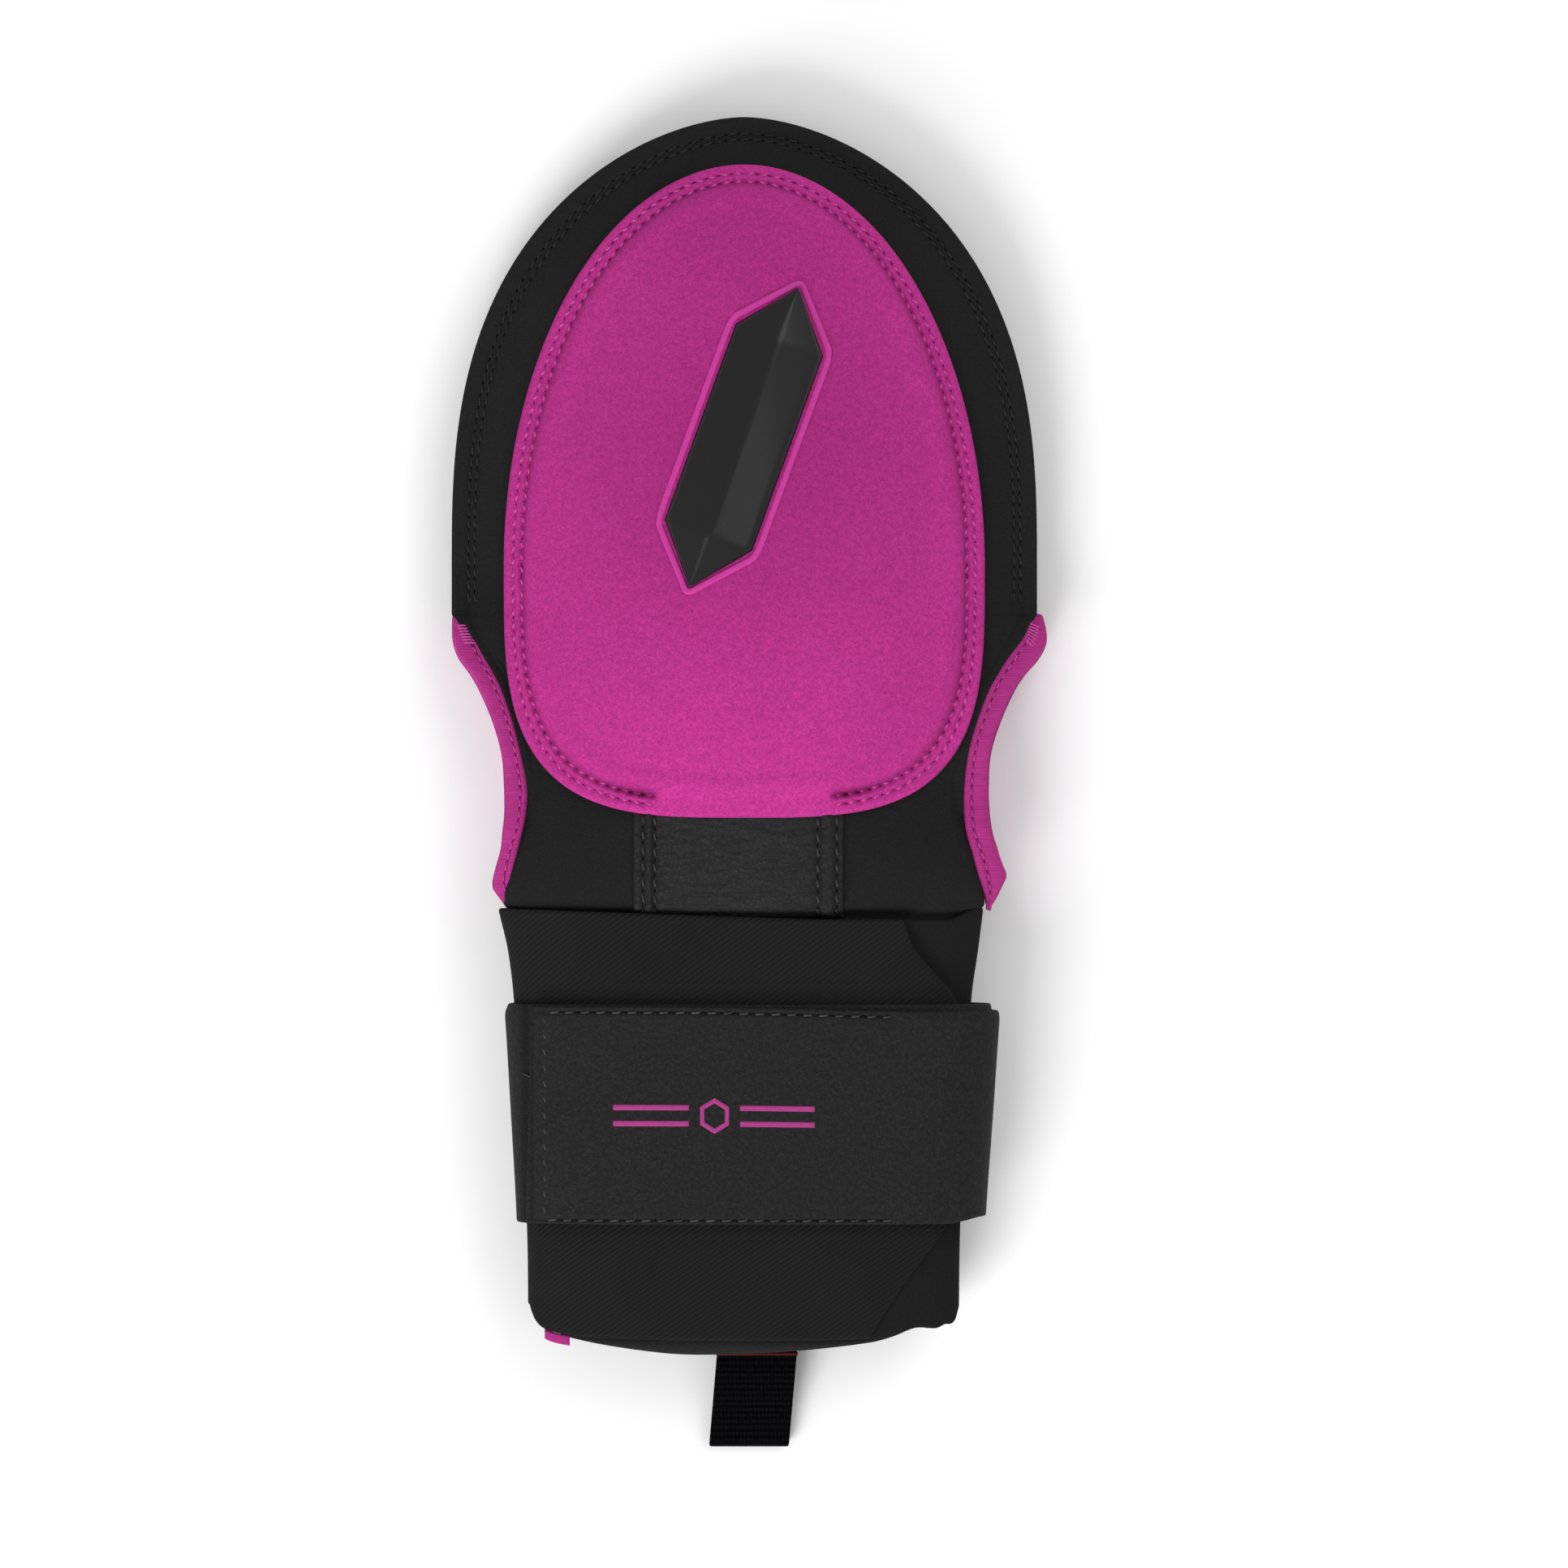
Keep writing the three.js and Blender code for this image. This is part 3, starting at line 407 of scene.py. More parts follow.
def stitch_row(
    name,
    path,
    normals,
    thread,
    hole,
    pitch=2.9,
    length=2.0,
    width=0.5,
    rise=0.32,
    slant=0.2,
    hole_size=(0.5, 0.3),
    hole_drop=0.0,
):
    """Row of stitches along a path: each is a short thread that dips into the cloth at both
    ends, a flattened capsule on an arch whose height falls with the square of the distance
    from its middle. Between two threads lies the dark needle hole. Returns both."""
    run = np.concatenate([[0], np.cumsum(np.linalg.norm(np.diff(path, axis=0), axis=1))])
    count = max(1, int(run[-1] / pitch))
    at = (np.arange(count) + 0.5) * run[-1] / count
    centre = at_distance(at, run, path)
    ahead = at_distance(at + THREAD_STEP, run, path)
    behind = at_distance(at - THREAD_STEP, run, path)
    up = unit_length(at_distance(at, run, normals))
    heading = unit_length(ahead - behind)
    side = unit_length(np.cross(up, heading))
    between = at_distance((at[1:] + at[:-1]) / 2, run, path)
    turned = [unit_length(a[1:] + a[:-1]) for a in (heading, side, up)]
    between = between - turned[2] * hole_drop
    holes = needle_holes(f"{name}_holes", between, *turned, hole, *hole_size)
    heading = unit_length(heading + side * slant)
    side = unit_length(np.cross(up, heading))
    along = THREAD_ALONG[:, None]
    girth = THREAD_GIRTH[:, None]
    arch = 1 - THREAD_ARCH * along**2
    turn = np.linspace(0, 2 * np.pi, THREAD_SIDES + 1)
    x = along * length / 2 + 0 * turn
    y = girth * np.cos(turn) * width / 2
    z = girth * np.sin(turn) * width * THREAD_FLAT + arch * rise / 2
    points = (
        centre[:, None, None]
        + heading[:, None, None] * x[None, :, :, None]
        + side[:, None, None] * y[None, :, :, None]
        + up[:, None, None] * z[None, :, :, None]
    )
    tips = np.stack([points[:, 0].mean(axis=1), points[:, -1].mean(axis=1)], axis=1)
    rows, columns = len(along), len(turn)
    each = rows * columns
    quads = grid_faces(rows, columns)
    a = np.arange(columns - 1)
    b = (rows - 1) * columns + a
    caps = np.concatenate([
        np.stack([a + 1, a, np.full_like(a, each), np.full_like(a, each)], axis=1),
        np.stack([b, b + 1, np.full_like(b, each + 1), np.full_like(b, each + 1)], axis=1),
    ])
    quads = np.concatenate([quads, caps])
    whole = np.concatenate([points.reshape(count, each, 3), tips], axis=1)
    offsets = (np.arange(count) * (each + 2))[:, None, None]
    quads = (quads[None] + offsets).reshape(-1, 4)[:, ::-1]
    flat = whole.reshape(-1, 3)
    threads = closed_mesh(name, flat, quads, flat[:, :2], thread)
    for made in (threads, holes):
        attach(made, "root")
    return [threads, holes]


def smooth_rise(x, low, high):
    """0 below low, 1 above high, and an S-shaped ease between them."""
    t = np.clip((x - low) / (high - low), 0, 1)
    return t * t * (3 - 2 * t)


def through_rows(rows, key, column, at):
    """Smooth curve through a table: a cubic from row to row whose slope at each row is that of
    the line between its neighbours."""
    keys = np.array([row[key] for row in rows], float)
    values = np.array([row[column] for row in rows], float)
    number = np.arange(len(keys))
    before = np.maximum(number - 1, 0)
    after = np.minimum(number + 1, len(keys) - 1)
    slopes = (values[after] - values[before]) / (keys[after] - keys[before])
    at = np.clip(at, keys[0], keys[-1])
    i = np.clip(np.searchsorted(keys, at, side="right") - 1, 0, len(keys) - 2)
    span = keys[i + 1] - keys[i]
    t = (at - keys[i]) / span
    rise = values[i + 1] - values[i]
    start = slopes[i] * span - rise
    end = rise - slopes[i + 1] * span
    return values[i] + rise * t + t * (1 - t) * (start * (1 - t) + end * t)


def signed_power(base, exponent):
    """Power of the size of the base, with the sign of the base."""
    return np.sign(base) * np.abs(base) ** exponent


def wrist_half(y, right):
    """Half width of the wrist, the table's share for that side times the full half width."""
    down = -np.asarray(y, float) / WRIST_LENGTH
    left_half = through_rows(WRIST_TAPER, "down", "left", down)
    right_half = through_rows(WRIST_TAPER, "down", "right", down)
    return WRIST_HALF * np.where(right, right_half, left_half)


def wrist_blend(y):
    """0 above the middle of the thumb openings, and 1 from their lower ends downwards."""
    return smooth_rise(OPEN_MID - y, 0, THUMB_LENGTH / 2)


def tuck_blend(y):
    """0 where the pouch is in sight, and 1 where it is tucked into the sleeve."""
    return smooth_rise(TUCK_START - y, 0, TUCK_START - SEAM_GAP)


def tip_curve(turn, inset):
    """Outline round the fingertips at an angle from the tip: the sine sets the way out and
    the cosine the way up, each to a power of its own."""
    out = (HAND_HALF - inset) * signed_power(np.sin(turn), 2 / TIP_POWERS[1])
    return out, WIDEST + (TIP_LENGTH - inset) * np.abs(np.cos(turn)) ** (2 / TIP_POWERS[0])


def hand_half(y, inset):
    """Half width of the pouch, an inset inwards from its edge: the fingertips' curve above
    the widest line, below it the thumb openings' table, and no more than the inside of the
    wrist where it is tucked in."""
    share = np.clip((y - WIDEST) / (TIP_LENGTH - inset), 0, 1)
    tip = (HAND_HALF - inset) * (1 - share ** TIP_POWERS[0]) ** (1 / TIP_POWERS[1])
    down = np.clip((OPEN_TOP - y) / THUMB_LENGTH, 0, 1)
    side = HAND_HALF * through_rows(THUMB_EDGE, "down", "out", down) - inset
    tucked = wrist_half(np.minimum(y, 0), False) - TUCK_DEPTH - inset
    side = side + (np.minimum(side, tucked) - side) * tuck_blend(y)
    return np.where(y > WIDEST, tip, side)


def seam_height(y):
    """Height of the seam: low round the hand, rising to the middle of the round wrist."""
    return SEAM_Z + (RING_Z - SEAM_Z) * wrist_blend(y)


def gape(y):
    """Way from the seam to an opening's upper or lower edge: 1 less the square of the distance
    from the opening's middle, to a power that fills it out."""
    share = np.maximum(0, 1 - ((y - OPEN_MID) / (THUMB_LENGTH / 2)) ** 2)
    return THUMB_GAPE * share**GAPE_POWER


def panel_height(side, x, y, depth):
    """Height of the back (side 1) or palm (side -1): flat at the sewn lip, then a sine dome
    over the hand that turns into the round wrist below the thumb openings."""
    x, y = np.broadcast_arrays(np.asarray(x, float), np.asarray(y, float))
    round_part = wrist_blend(y)
    lip_wall = (PANEL_WALL - depth) * (1 - round_part)
    edge = seam_height(y) + side * (SEAM_GAP / 2 + gape(y) + lip_wall)
    tucked = RING_Z + side * (WRIST_HEIGHT / 2 - TUCK_DEPTH)
    full = HAND_HEIGHT if side > 0 else 0
    middle = full + (tucked - full) * tuck_blend(y) - side * depth
    lip = LIP * (1 - round_part)
    exact = hand_half(y, lip) - depth * round_part
    nearby = y + EASE_STEPS.reshape(-1, *([1] * y.ndim))
    eased = hand_half(nearby, lip).mean(axis=0) - depth * round_part
    outward = smooth_rise(np.abs(x) / np.maximum(exact, 1e-6), *EASE_SPAN)
    half = eased + (exact - eased) * outward
    eased_gape = gape(nearby).mean(axis=0) * (1 - round_part) + gape(y) * round_part
    edge = edge + side * (eased_gape - gape(y)) * (1 - outward)
    flat = 1 if side > 0 else (1 - PALM_FLAT) + PALM_FLAT * round_part
    share = np.clip((1 - np.abs(x) / np.maximum(half, 1e-6)) / flat, 0, 1)
    lens = np.sin(share * np.pi / 2)
    shoulder = (1 - (1 - share) ** RING_POWER) ** (1 / RING_POWER)
    swell = lens + (shoulder - lens) * round_part
    tip = np.sin(np.clip((WIDEST + TIP_LENGTH - LIP - y) / TIP_RUN, 0, 1) * np.pi / 2)
    return edge + (middle - edge) * swell * tip


def both_halves(x, y, z):
    """Grid from its right half: columns from the edge to the middle line, then mirrored."""
    right = np.stack([x, y, z], axis=2)
    left = right * (-1, 1, 1)
    return np.concatenate([left, right[:, -2::-1]], axis=1)


def pouch_face(side, depth):
    """Grid of a panel: rows from the fingertip to the tucked end, and columns that follow the
    edge inwards by its insets and then fan out to the middle line."""
    turns = np.linspace(0, np.pi / 2, 72)
    straight = OPEN_MID + np.cos(np.linspace(0, np.pi, 60)) * THUMB_LENGTH / 2
    straight = np.concatenate([straight, np.linspace(NECK, -TUCK_LENGTH, 26)[1:]])
    out, y = tip_curve(turns[:, None], PANEL_INSETS[None])
    out = np.concatenate([out, hand_half(straight[:, None], PANEL_INSETS[None])])
    y = np.concatenate([y, np.repeat(straight[:, None], len(PANEL_INSETS), axis=1)])
    middle = np.concatenate([tip_curve(turns, TIP_RUN)[1], straight])
    fan = np.linspace(0, 1, PANEL_FAN + 1)[1:]
    x = np.concatenate([out, out[:, -1:] * (1 - fan)], axis=1)
    y = np.concatenate([y, y[:, -1:] + (middle[:, None] - y[:, -1:]) * fan], axis=1)
    x = x * (1 - depth * wrist_blend(y[:, :1]) / np.maximum(out[:, :1], 1))
    z = panel_height(side, x, y, depth)
    if depth == 0:
        inset = np.concatenate([PANEL_INSETS, np.full(PANEL_FAN, PANEL_INSIDE)])
        groove = sum(bell(inset, row, SEAM_REACH) for row in SEAM_ROWS)
        z = z - side * SEAM_DIP * groove * (1 - wrist_blend(y))
    return both_halves(x, y, z)


def pouch_stitches(name, side, inset):
    """Row of black stitches an inset inside the edge: the fingertips' curve from side to side,
    and from each end of it straight down to the thumb opening."""
    turns = np.linspace(-np.pi / 2 * 0.995, np.pi / 2 * 0.995, 300)
    x, y = tip_curve(turns, inset)
    low = np.array([OPEN_TOP + 2.5])
    end = hand_half(low, inset)
    x = np.concatenate([-end, x, end])
    y = np.concatenate([low, y, low])
    path = np.stack([x, y, panel_height(side, x, y, 0) - side * THREAD_SINK], axis=1)
    normals = np.tile((0.0, 0.0, float(side)), (len(path), 1))
    return stitch_row(
        name,
        path,
        normals,
        black_thread,
        black_hole,
        length=2.1,
        width=0.45,
        hole_size=(0.42, 0.24),
    )


neoprene = cloth_finish(
    "neoprene",
    light=(0.0172, 0.0172, 0.0174),
    dark=(0.005, 0.005, 0.005),
    rough=0.92,
    gloss=0.06,
    rows=[
        {"kind": "noise", "size": 0.03, "dark": 0.12, "rise": 0.0},
        {"kind": "noise", "size": 0.0006, "detail": 3.0, "dark": 0.3, "rise": 0.00006},
        {"kind": "pebbles", "size": 0.0009, "dark": 0.15, "rise": 0.00004},
    ],
)
black_thread = cloth_finish(
    "black_thread",
    light=(0.026, 0.026, 0.026),
    dark=(0.004, 0.004, 0.004),
    rough=0.6,
    gloss=0.2,
    rows=[
        {"kind": "noise", "size": 0.004, "dark": 0.5, "rise": 0.0},
        {"kind": "noise", "size": 0.0004, "dark": 0.5, "rise": 0.00003},
    ],
)
black_hole = thread_finish(
    "black_hole",
    light=(0.008, 0.008, 0.008),
    dark=(0.003, 0.003, 0.003),
    rough=1.0,
    gloss=0.0,
    size=0.004,
    share=0.6,
)
for side, label, name in ((1, "back", "back_panel"), (-1, "palm", "palm_panel")):
    pouch = cloth_sheet(
        f"pouch_{label}",
        pouch_face(side, 0),
        pouch_face(side, PANEL_WALL),
        neoprene,
        rim=1.1,
        open_borders="blr",
        flip=side > 0,
    )
    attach(pouch, "root")
    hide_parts(name)
    rows = []
    for number, inset in enumerate(SEAM_ROWS):
        rows += pouch_stitches(f"pouch_{label}_stitches_{number + 1}", side, inset)

# Back pad: a stuffed pink guard of soft microfibre. Its edge is rolled over and sewn down with
# two rows of pink stitches, which stop where the lower edge lies over the leather strip.
PAD_HALF = 56.9
PAD_UPPER = 95.0
PAD_LOWER = 59.4
PAD_POWER = 3.4
PAD_BORDER = 4.3
PAD_ROWS = [
    {"inset": 2.4, "dip": 0.45, "reach": 0.5, "slant": 0.45},
    {"inset": 4.4, "dip": 0.95, "reach": 0.75, "slant": -0.45},
]
# Painted shade: a dark bell along the valley of each row of stitches.
PAD_ROW_SHADES = [
    {"inset": 2.4, "dark": 0.3, "reach": 0.4},
    {"inset": 4.65, "dark": 0.55, "reach": 0.62},
]
PAD_BETWEEN_ROLL = {"inset": 3.4, "rise": 0.2, "reach": 0.5}
PAD_INNER_ROLL = {"inset": 7.2, "rise": 1.25, "reach": 2.3}
PAD_GAP = 0.5
PAD_THICK = 1.8
PAD_SWELL = 7.2
PAD_FULLNESS = 3.5
PAD_TOP = WIDEST + TIP_LENGTH - 11.7
PAD_WIDEST = PAD_TOP - PAD_UPPER
PAD_FAN = {"upper": 40.0, "lower": 28.0}
STITCH_PITCH = 2.9
UNSEWN_HALF = 21.0
UNSEWN_EASE = (-1, 1.5)
ROW_END = {"out": 3, "reach": 7, "deeper": 0.7}
# Painted highlight: the border round the pad's tip is lighter than the rest of the cloth.
TIP_HIGHLIGHT = {"turn": 0.75, "full": 4.2, "gone": 5.6}
PAD_PULL = 0.65  # mean depth of a valley, as a share of its depth under a stitch
# Level of the pad's cloth away from the painted highlight round the tip.
PAD_CLOTH_SHADE = 0.86
# Painted shade where the rows of stitches stop.
PAD_ROW_END_SHADE = {"inset": 4.6, "dark": 0.42, "reach": 1.6}
PAD_LINES = 330
PAD_FAN_LINES = 21
PAD_INSIDE = 40.0  # an inset that no row of stitches reaches
PAD_INSETS = np.concatenate([
    [0, 0.08, 0.25, 0.5, 0.85, 1.25, 1.7, 2.05, 2.4, 2.75],
    [3.1, 3.45, 3.8, 4.1, 4.4, 4.75, 5.2, 5.8, 6.6, 7.8, 9.4],
])


def pad_curve(turn, inset):
    """Outline of the pad at an angle from its tip: an ellipse above its widest line, and
    below it the sine and cosine to a power that makes it squarer."""
    turn, inset = np.broadcast_arrays(turn, inset)
    upper = turn <= np.pi / 2
    power = np.where(upper, 1, 2 / PAD_POWER)
    reach = np.where(upper, PAD_UPPER, PAD_LOWER) - inset
    out = (PAD_HALF - inset) * np.abs(np.sin(turn)) ** power
    return out, PAD_WIDEST + signed_power(np.cos(turn), power) * reach


def pad_top(x, y):
    """Height of the pad: a flat border, and inside it stuffing, 1 less a power of the share
    of the way out, so that it rises fast and stays full."""
    upper = y >= PAD_WIDEST
    power = np.where(upper, 2, PAD_POWER)
    reach = np.where(upper, PAD_UPPER, PAD_LOWER) - PAD_BORDER
    across = np.abs(x) / (PAD_HALF - PAD_BORDER)
    along = np.abs(y - PAD_WIDEST) / reach
    share = np.minimum(1, (across**power + along**power) ** (1 / power))
    stuffing = PAD_SWELL * (1 - share**PAD_FULLNESS)
    return panel_height(1, x, y, 0) + PAD_GAP + PAD_THICK + stuffing


def pad_row(inset):
    """A row of stitches on the pad's right half, from its tip to where the sewing stops: the
    angles, the points and the distance run."""
    stop = np.pi - np.arcsin((UNSEWN_HALF / (PAD_HALF - inset)) ** (PAD_POWER / 2))
    turns = np.linspace(0, stop, 500)
    x, y = pad_curve(turns, inset)
    path = np.stack([x, y, pad_top(x, y)], axis=1)
    steps = np.linalg.norm(np.diff(path, axis=0), axis=1)
    return turns, path, np.concatenate([[0], np.cumsum(steps)])


def pad_stitch_count():
    """Whole stitches that fit on the longest row at the usual pitch."""
    return int(pad_row(PAD_ROWS[1]["inset"])[2][-1] / STITCH_PITCH)


def pad_sewing(turns):
    """1 where the pad is sewn, easing to 0 along the plain lower edge, and a bell at the
    rows' ends."""
    out = pad_curve(turns, PAD_ROWS[1]["inset"])[0]
    low = turns > np.pi / 2
    sewn = 1 - smooth_rise(UNSEWN_HALF - out, *UNSEWN_EASE) * low
    ends = bell(out, UNSEWN_HALF + ROW_END["out"], ROW_END["reach"]) * low
    return sewn, ends


def pad_relief(turns, inset, pulls):
    """Height of the sewn cloth over the plain pad: a valley along each row, as deep as its
    pull, with a low roll between the two and a fuller one inside them."""
    sewn, ends = pad_sewing(turns)
    between, inner = (
        roll["rise"] * bell(inset, roll["inset"], roll["reach"])
        for roll in (PAD_BETWEEN_ROLL, PAD_INNER_ROLL)
    )
    dip = -between
    for row, pull in zip(PAD_ROWS, pulls):
        valley = bell(inset, row["inset"], row["reach"])
        dip = dip + row["dip"] * valley * pull * (1 + ROW_END["deeper"] * ends)
    return inner - dip * sewn


def pad_face(top):
    """Grid of the pad's upper or under face, with columns that follow its edge inwards by the
    insets and then fan out to the middle line. A stitch pulls its valley down with a cosine."""
    turns = np.linspace(0, np.pi, PAD_LINES)
    out, y = pad_curve(turns[:, None], PAD_INSETS[None])
    fan_end = np.where(turns <= np.pi / 2, PAD_FAN["upper"], PAD_FAN["lower"])
    middle = pad_curve(turns, fan_end)[1]
    fan = np.linspace(0, 1, PAD_FAN_LINES + 1)[1:]
    x = np.concatenate([out, out[:, -1:] * (1 - fan)], axis=1)
    y = np.concatenate([y, y[:, -1:] + (middle[:, None] - y[:, -1:]) * fan], axis=1)
    if not top:
        return both_halves(x, y, panel_height(1, x, y, 0) + 0.1)
    inset = np.concatenate([PAD_INSETS, np.full(PAD_FAN_LINES, PAD_INSIDE)])[None]
    pulls = []
    for row in PAD_ROWS:
        row_turns, _, run = pad_row(row["inset"])
        phase = np.interp(turns, row_turns, run) / run[-1] * pad_stitch_count()
        pulls.append((PAD_PULL + (1 - PAD_PULL) * np.cos(2 * np.pi * phase))[:, None])
    z = pad_top(x, y) + pad_relief(turns[:, None], inset, pulls)
    return both_halves(x, y, z)


def pad_shade():
    """Painted light on the cloth: a painted highlight on the border round the tip, less a bell
    of painted shade in the valley of each row, and one more where the rows stop."""
    turns = np.linspace(0, np.pi, PAD_LINES)[:, None]
    inset = np.concatenate([PAD_INSETS, np.full(PAD_FAN_LINES, PAD_INSIDE)])[None]
    sewn, ends = pad_sewing(turns)
    outer_row, inner_row, end_shade = (
        row["dark"] * bell(inset, row["inset"], row["reach"])
        for row in (*PAD_ROW_SHADES, PAD_ROW_END_SHADE)
    )
    border = 1 - smooth_rise(inset, TIP_HIGHLIGHT["full"], TIP_HIGHLIGHT["gone"])
    tip_highlight = bell(turns, 0, TIP_HIGHLIGHT["turn"]) * border
    cloth = PAD_CLOTH_SHADE + (1 - PAD_CLOTH_SHADE) * tip_highlight
    shade = cloth * (1 - np.clip(outer_row + inner_row + end_shade * ends, 0, 1) * sewn)
    return np.concatenate([shade, shade[:, -2::-1]], axis=1)


pink_suede = cloth_finish(
    "pad_suede",
    light=(0.782, 0.0565, 0.405),
    dark=(0.15, 0.007, 0.08),
    rough=0.9,
    gloss=0.12,
    sheen=0.1,
    rows=[
        # The painted row is the pad's shade attribute: painted shade along the stitched rows and a
        # painted highlight on the tip's border.
        {"kind": "painted", "dark": 1.0, "rise": 0.0},
        # The slope and the two spots are painted shade: the pad is darker above its lower part and
        # round its middle.
        {
            "kind": "slope",
            "size": -0.016,
            "start": 0.006,
            "across": (0.0, 1.0),
            "dark": 0.18,
            "rise": 0.0,
        },
        {
            "kind": "spot",
            "size": 0.085,
            "middle": (-0.016, 0.078, 0.035),
            "dark": 0.24,
            "rise": 0.0,
        },
        {
            "kind": "spot",
            "size": 0.058,
            "middle": (0.004, 0.076, 0.035),
            "dark": 0.32,
            "rise": 0.0,
        },
        {"kind": "noise", "size": 0.05, "dark": 0.12, "rise": 0.0},
        {"kind": "noise", "size": 0.0011, "detail": 5.0, "dark": 0.35, "rise": 0.0001},
        {"kind": "noise", "size": 0.0005, "dark": 0.42, "rise": 0.00005},
    ],
)
pink_thread = thread_finish(
    "pink_thread",
    light=(0.57, 0.065, 0.33),
    dark=(0.3, 0.02, 0.17),
    rough=0.55,
    gloss=0.35,
    size=0.0004,
    share=0.5,
    rise=0.00003,
)
pink_hole = thread_finish(
    "pink_hole",
    light=(0.17, 0.01, 0.1),
    dark=(0.08, 0.005, 0.045),
    rough=1.0,
    gloss=0.0,
    size=0.002,
    share=0.5,
)
pad = cloth_sheet(
    "pad",
    pad_face(True),
    pad_face(False),
    pink_suede,
    rim=1.0,
    open_borders="lr",
    flip=True,
    shade=pad_shade(),
)
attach(pad, "root")
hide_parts("back_pad")
for number, row in enumerate(PAD_ROWS):
    turns, path, run = pad_row(row["inset"])
    lift = pad_relief(turns, row["inset"], (PAD_PULL, PAD_PULL))
    path = path + lift[:, None] * (0, 0, 1)
    for label, mirror in (("left", -1), ("right", 1)):
        stitch_row(
            f"pad_stitches_{label}_{number + 1}",
            path * (mirror, 1, 1),
            np.tile((0.0, 0.0, 1.0), (len(path), 1)),
            pink_thread,
            pink_hole,
            pitch=run[-1] / (pad_stitch_count() + 0.5),
            length=1.7,
            width=0.6,
            rise=0.5,
            slant=row["slant"] * mirror,
            hole_size=(0.78, 0.34),
            hole_drop=0.35 * row["dip"] - 0.04,
        )

# Boss: a moulded bar of satin rubber on the pad, six-sided, with a ridge down its middle and a
# thin raised rim in the pad's colour.
BOSS_HALF_LENGTH = 37.5
BOSS_HALF_WIDTH = 11.0
BOSS_POINT = 0.35
BOSS_BASE = 1.2
BOSS_RIDGE = 2.4
BOSS_TILT = np.radians(-20)
BOSS_MIDDLE = PAD_WIDEST + 29.8
BOSS_RIM = 0.78
BOSS_RIM_OUT = (1.12, 1.04)
BOSS_SHOULDER = 0.65
BOSS_SIDE_LINES = [0.9, 0.95, 0.985, 1]
RIM_EDGE_LINES = 29
PIPING_CAP = np.array([0.03, 0.6, 0.9])
PIPING_CAP_AT = np.array([0, 0.25, 0.6])
GROOVE_PINCH = 0.22
GROOVE_REACH = 0.13


def piping(
    name, centres, wide, thin, material, sides=12, closed=False, squareness=2.0, groove=None
):
    """Closed tube along centres, or a closed loop. Its section is the cosine times the half
    axis wide and the sine times the half axis thin, both to a power that squares it. A
    groove, at a share of the half width, pinches its two flat faces."""
    turn = np.linspace(0, 2 * np.pi, sides + 1)
    across = signed_power(np.cos(turn), 2 / squareness)
    up = signed_power(np.sin(turn), 2 / squareness)
    if groove is not None:
        up = up * (1 - GROOVE_PINCH * bell(across, groove, GROOVE_REACH))
    if not closed:
        caps = PIPING_CAP
        reach = np.linalg.norm(thin[0])
        ahead = reach - reach * PIPING_CAP_AT
        start = centres[0] - unit_length(centres[1] - centres[0]) * ahead[:, None]
        end = centres[-1] + unit_length(centres[-1] - centres[-2]) * ahead[::-1, None]
        centres = np.concatenate([start, centres, end])
        wide = np.concatenate([wide[:1] * caps[:, None], wide, wide[-1:] * caps[::-1, None]])
        thin = np.concatenate([thin[:1] * caps[:, None], thin, thin[-1:] * caps[::-1, None]])
    else:
        centres, wide, thin = (np.concatenate([a, a[:1]]) for a in (centres, wide, thin))
    grid = (
        centres[:, None]
        + across[None, :, None] * wide[:, None]
        + up[None, :, None] * thin[:, None]
    )
    rows, columns = grid.shape[:2]
    run = np.concatenate([[0], np.cumsum(np.linalg.norm(np.diff(centres, axis=0), axis=1))])
    around = np.linspace(-1, 1, columns) * np.linalg.norm(wide[rows // 2]) * 2
    uv = np.stack(np.broadcast_arrays(around[None, :], run[:, None]), axis=2)
    quads = grid_faces(rows, columns)
    points = grid.reshape(-1, 3)
    uv = uv.reshape(-1, 2)
    if not closed:
        tips = np.concatenate([centres[:1], centres[-1:]])
        first = len(points)
        points = np.concatenate([points, tips])
        uv = np.concatenate([uv, uv[[0, -1]]])
        a = np.arange(columns - 1)
        b = (rows - 1) * columns + a
        quads = np.concatenate([
            quads,
            np.stack([a + 1, a, np.full_like(a, first), np.full_like(a, first)], axis=1),
            np.stack([b, b + 1, np.full_like(b, first + 1), np.full_like(b, first + 1)], axis=1),
        ])
    volume_sign = np.sign(np.sum(np.cross(wide, thin) * np.gradient(centres, axis=0)))
    if volume_sign < 0:
        quads = quads[:, ::-1]
    return closed_mesh(name, points, quads, uv, material)


def boss_place(across, along):
    """Place on the pad of a point of the bar, in shares of its half width and length."""
    x = across * BOSS_HALF_WIDTH
    y = along * BOSS_HALF_LENGTH
    cos, sin = np.cos(BOSS_TILT), np.sin(BOSS_TILT)
    return x * cos - y * sin, BOSS_MIDDLE + x * sin + y * cos


point_lines = np.linspace(BOSS_SHOULDER, 1, 16)
middle_lines = np.linspace(-BOSS_SHOULDER, BOSS_SHOULDER, 40)[1:-1]
along = np.concatenate([-point_lines[::-1], middle_lines, point_lines])
side_lines = np.array(BOSS_SIDE_LINES)
across = np.concatenate([-side_lines[::-1], np.linspace(-0.8, 0.8, 17), side_lines])
along, across = np.meshgrid(along, across, indexing="ij")
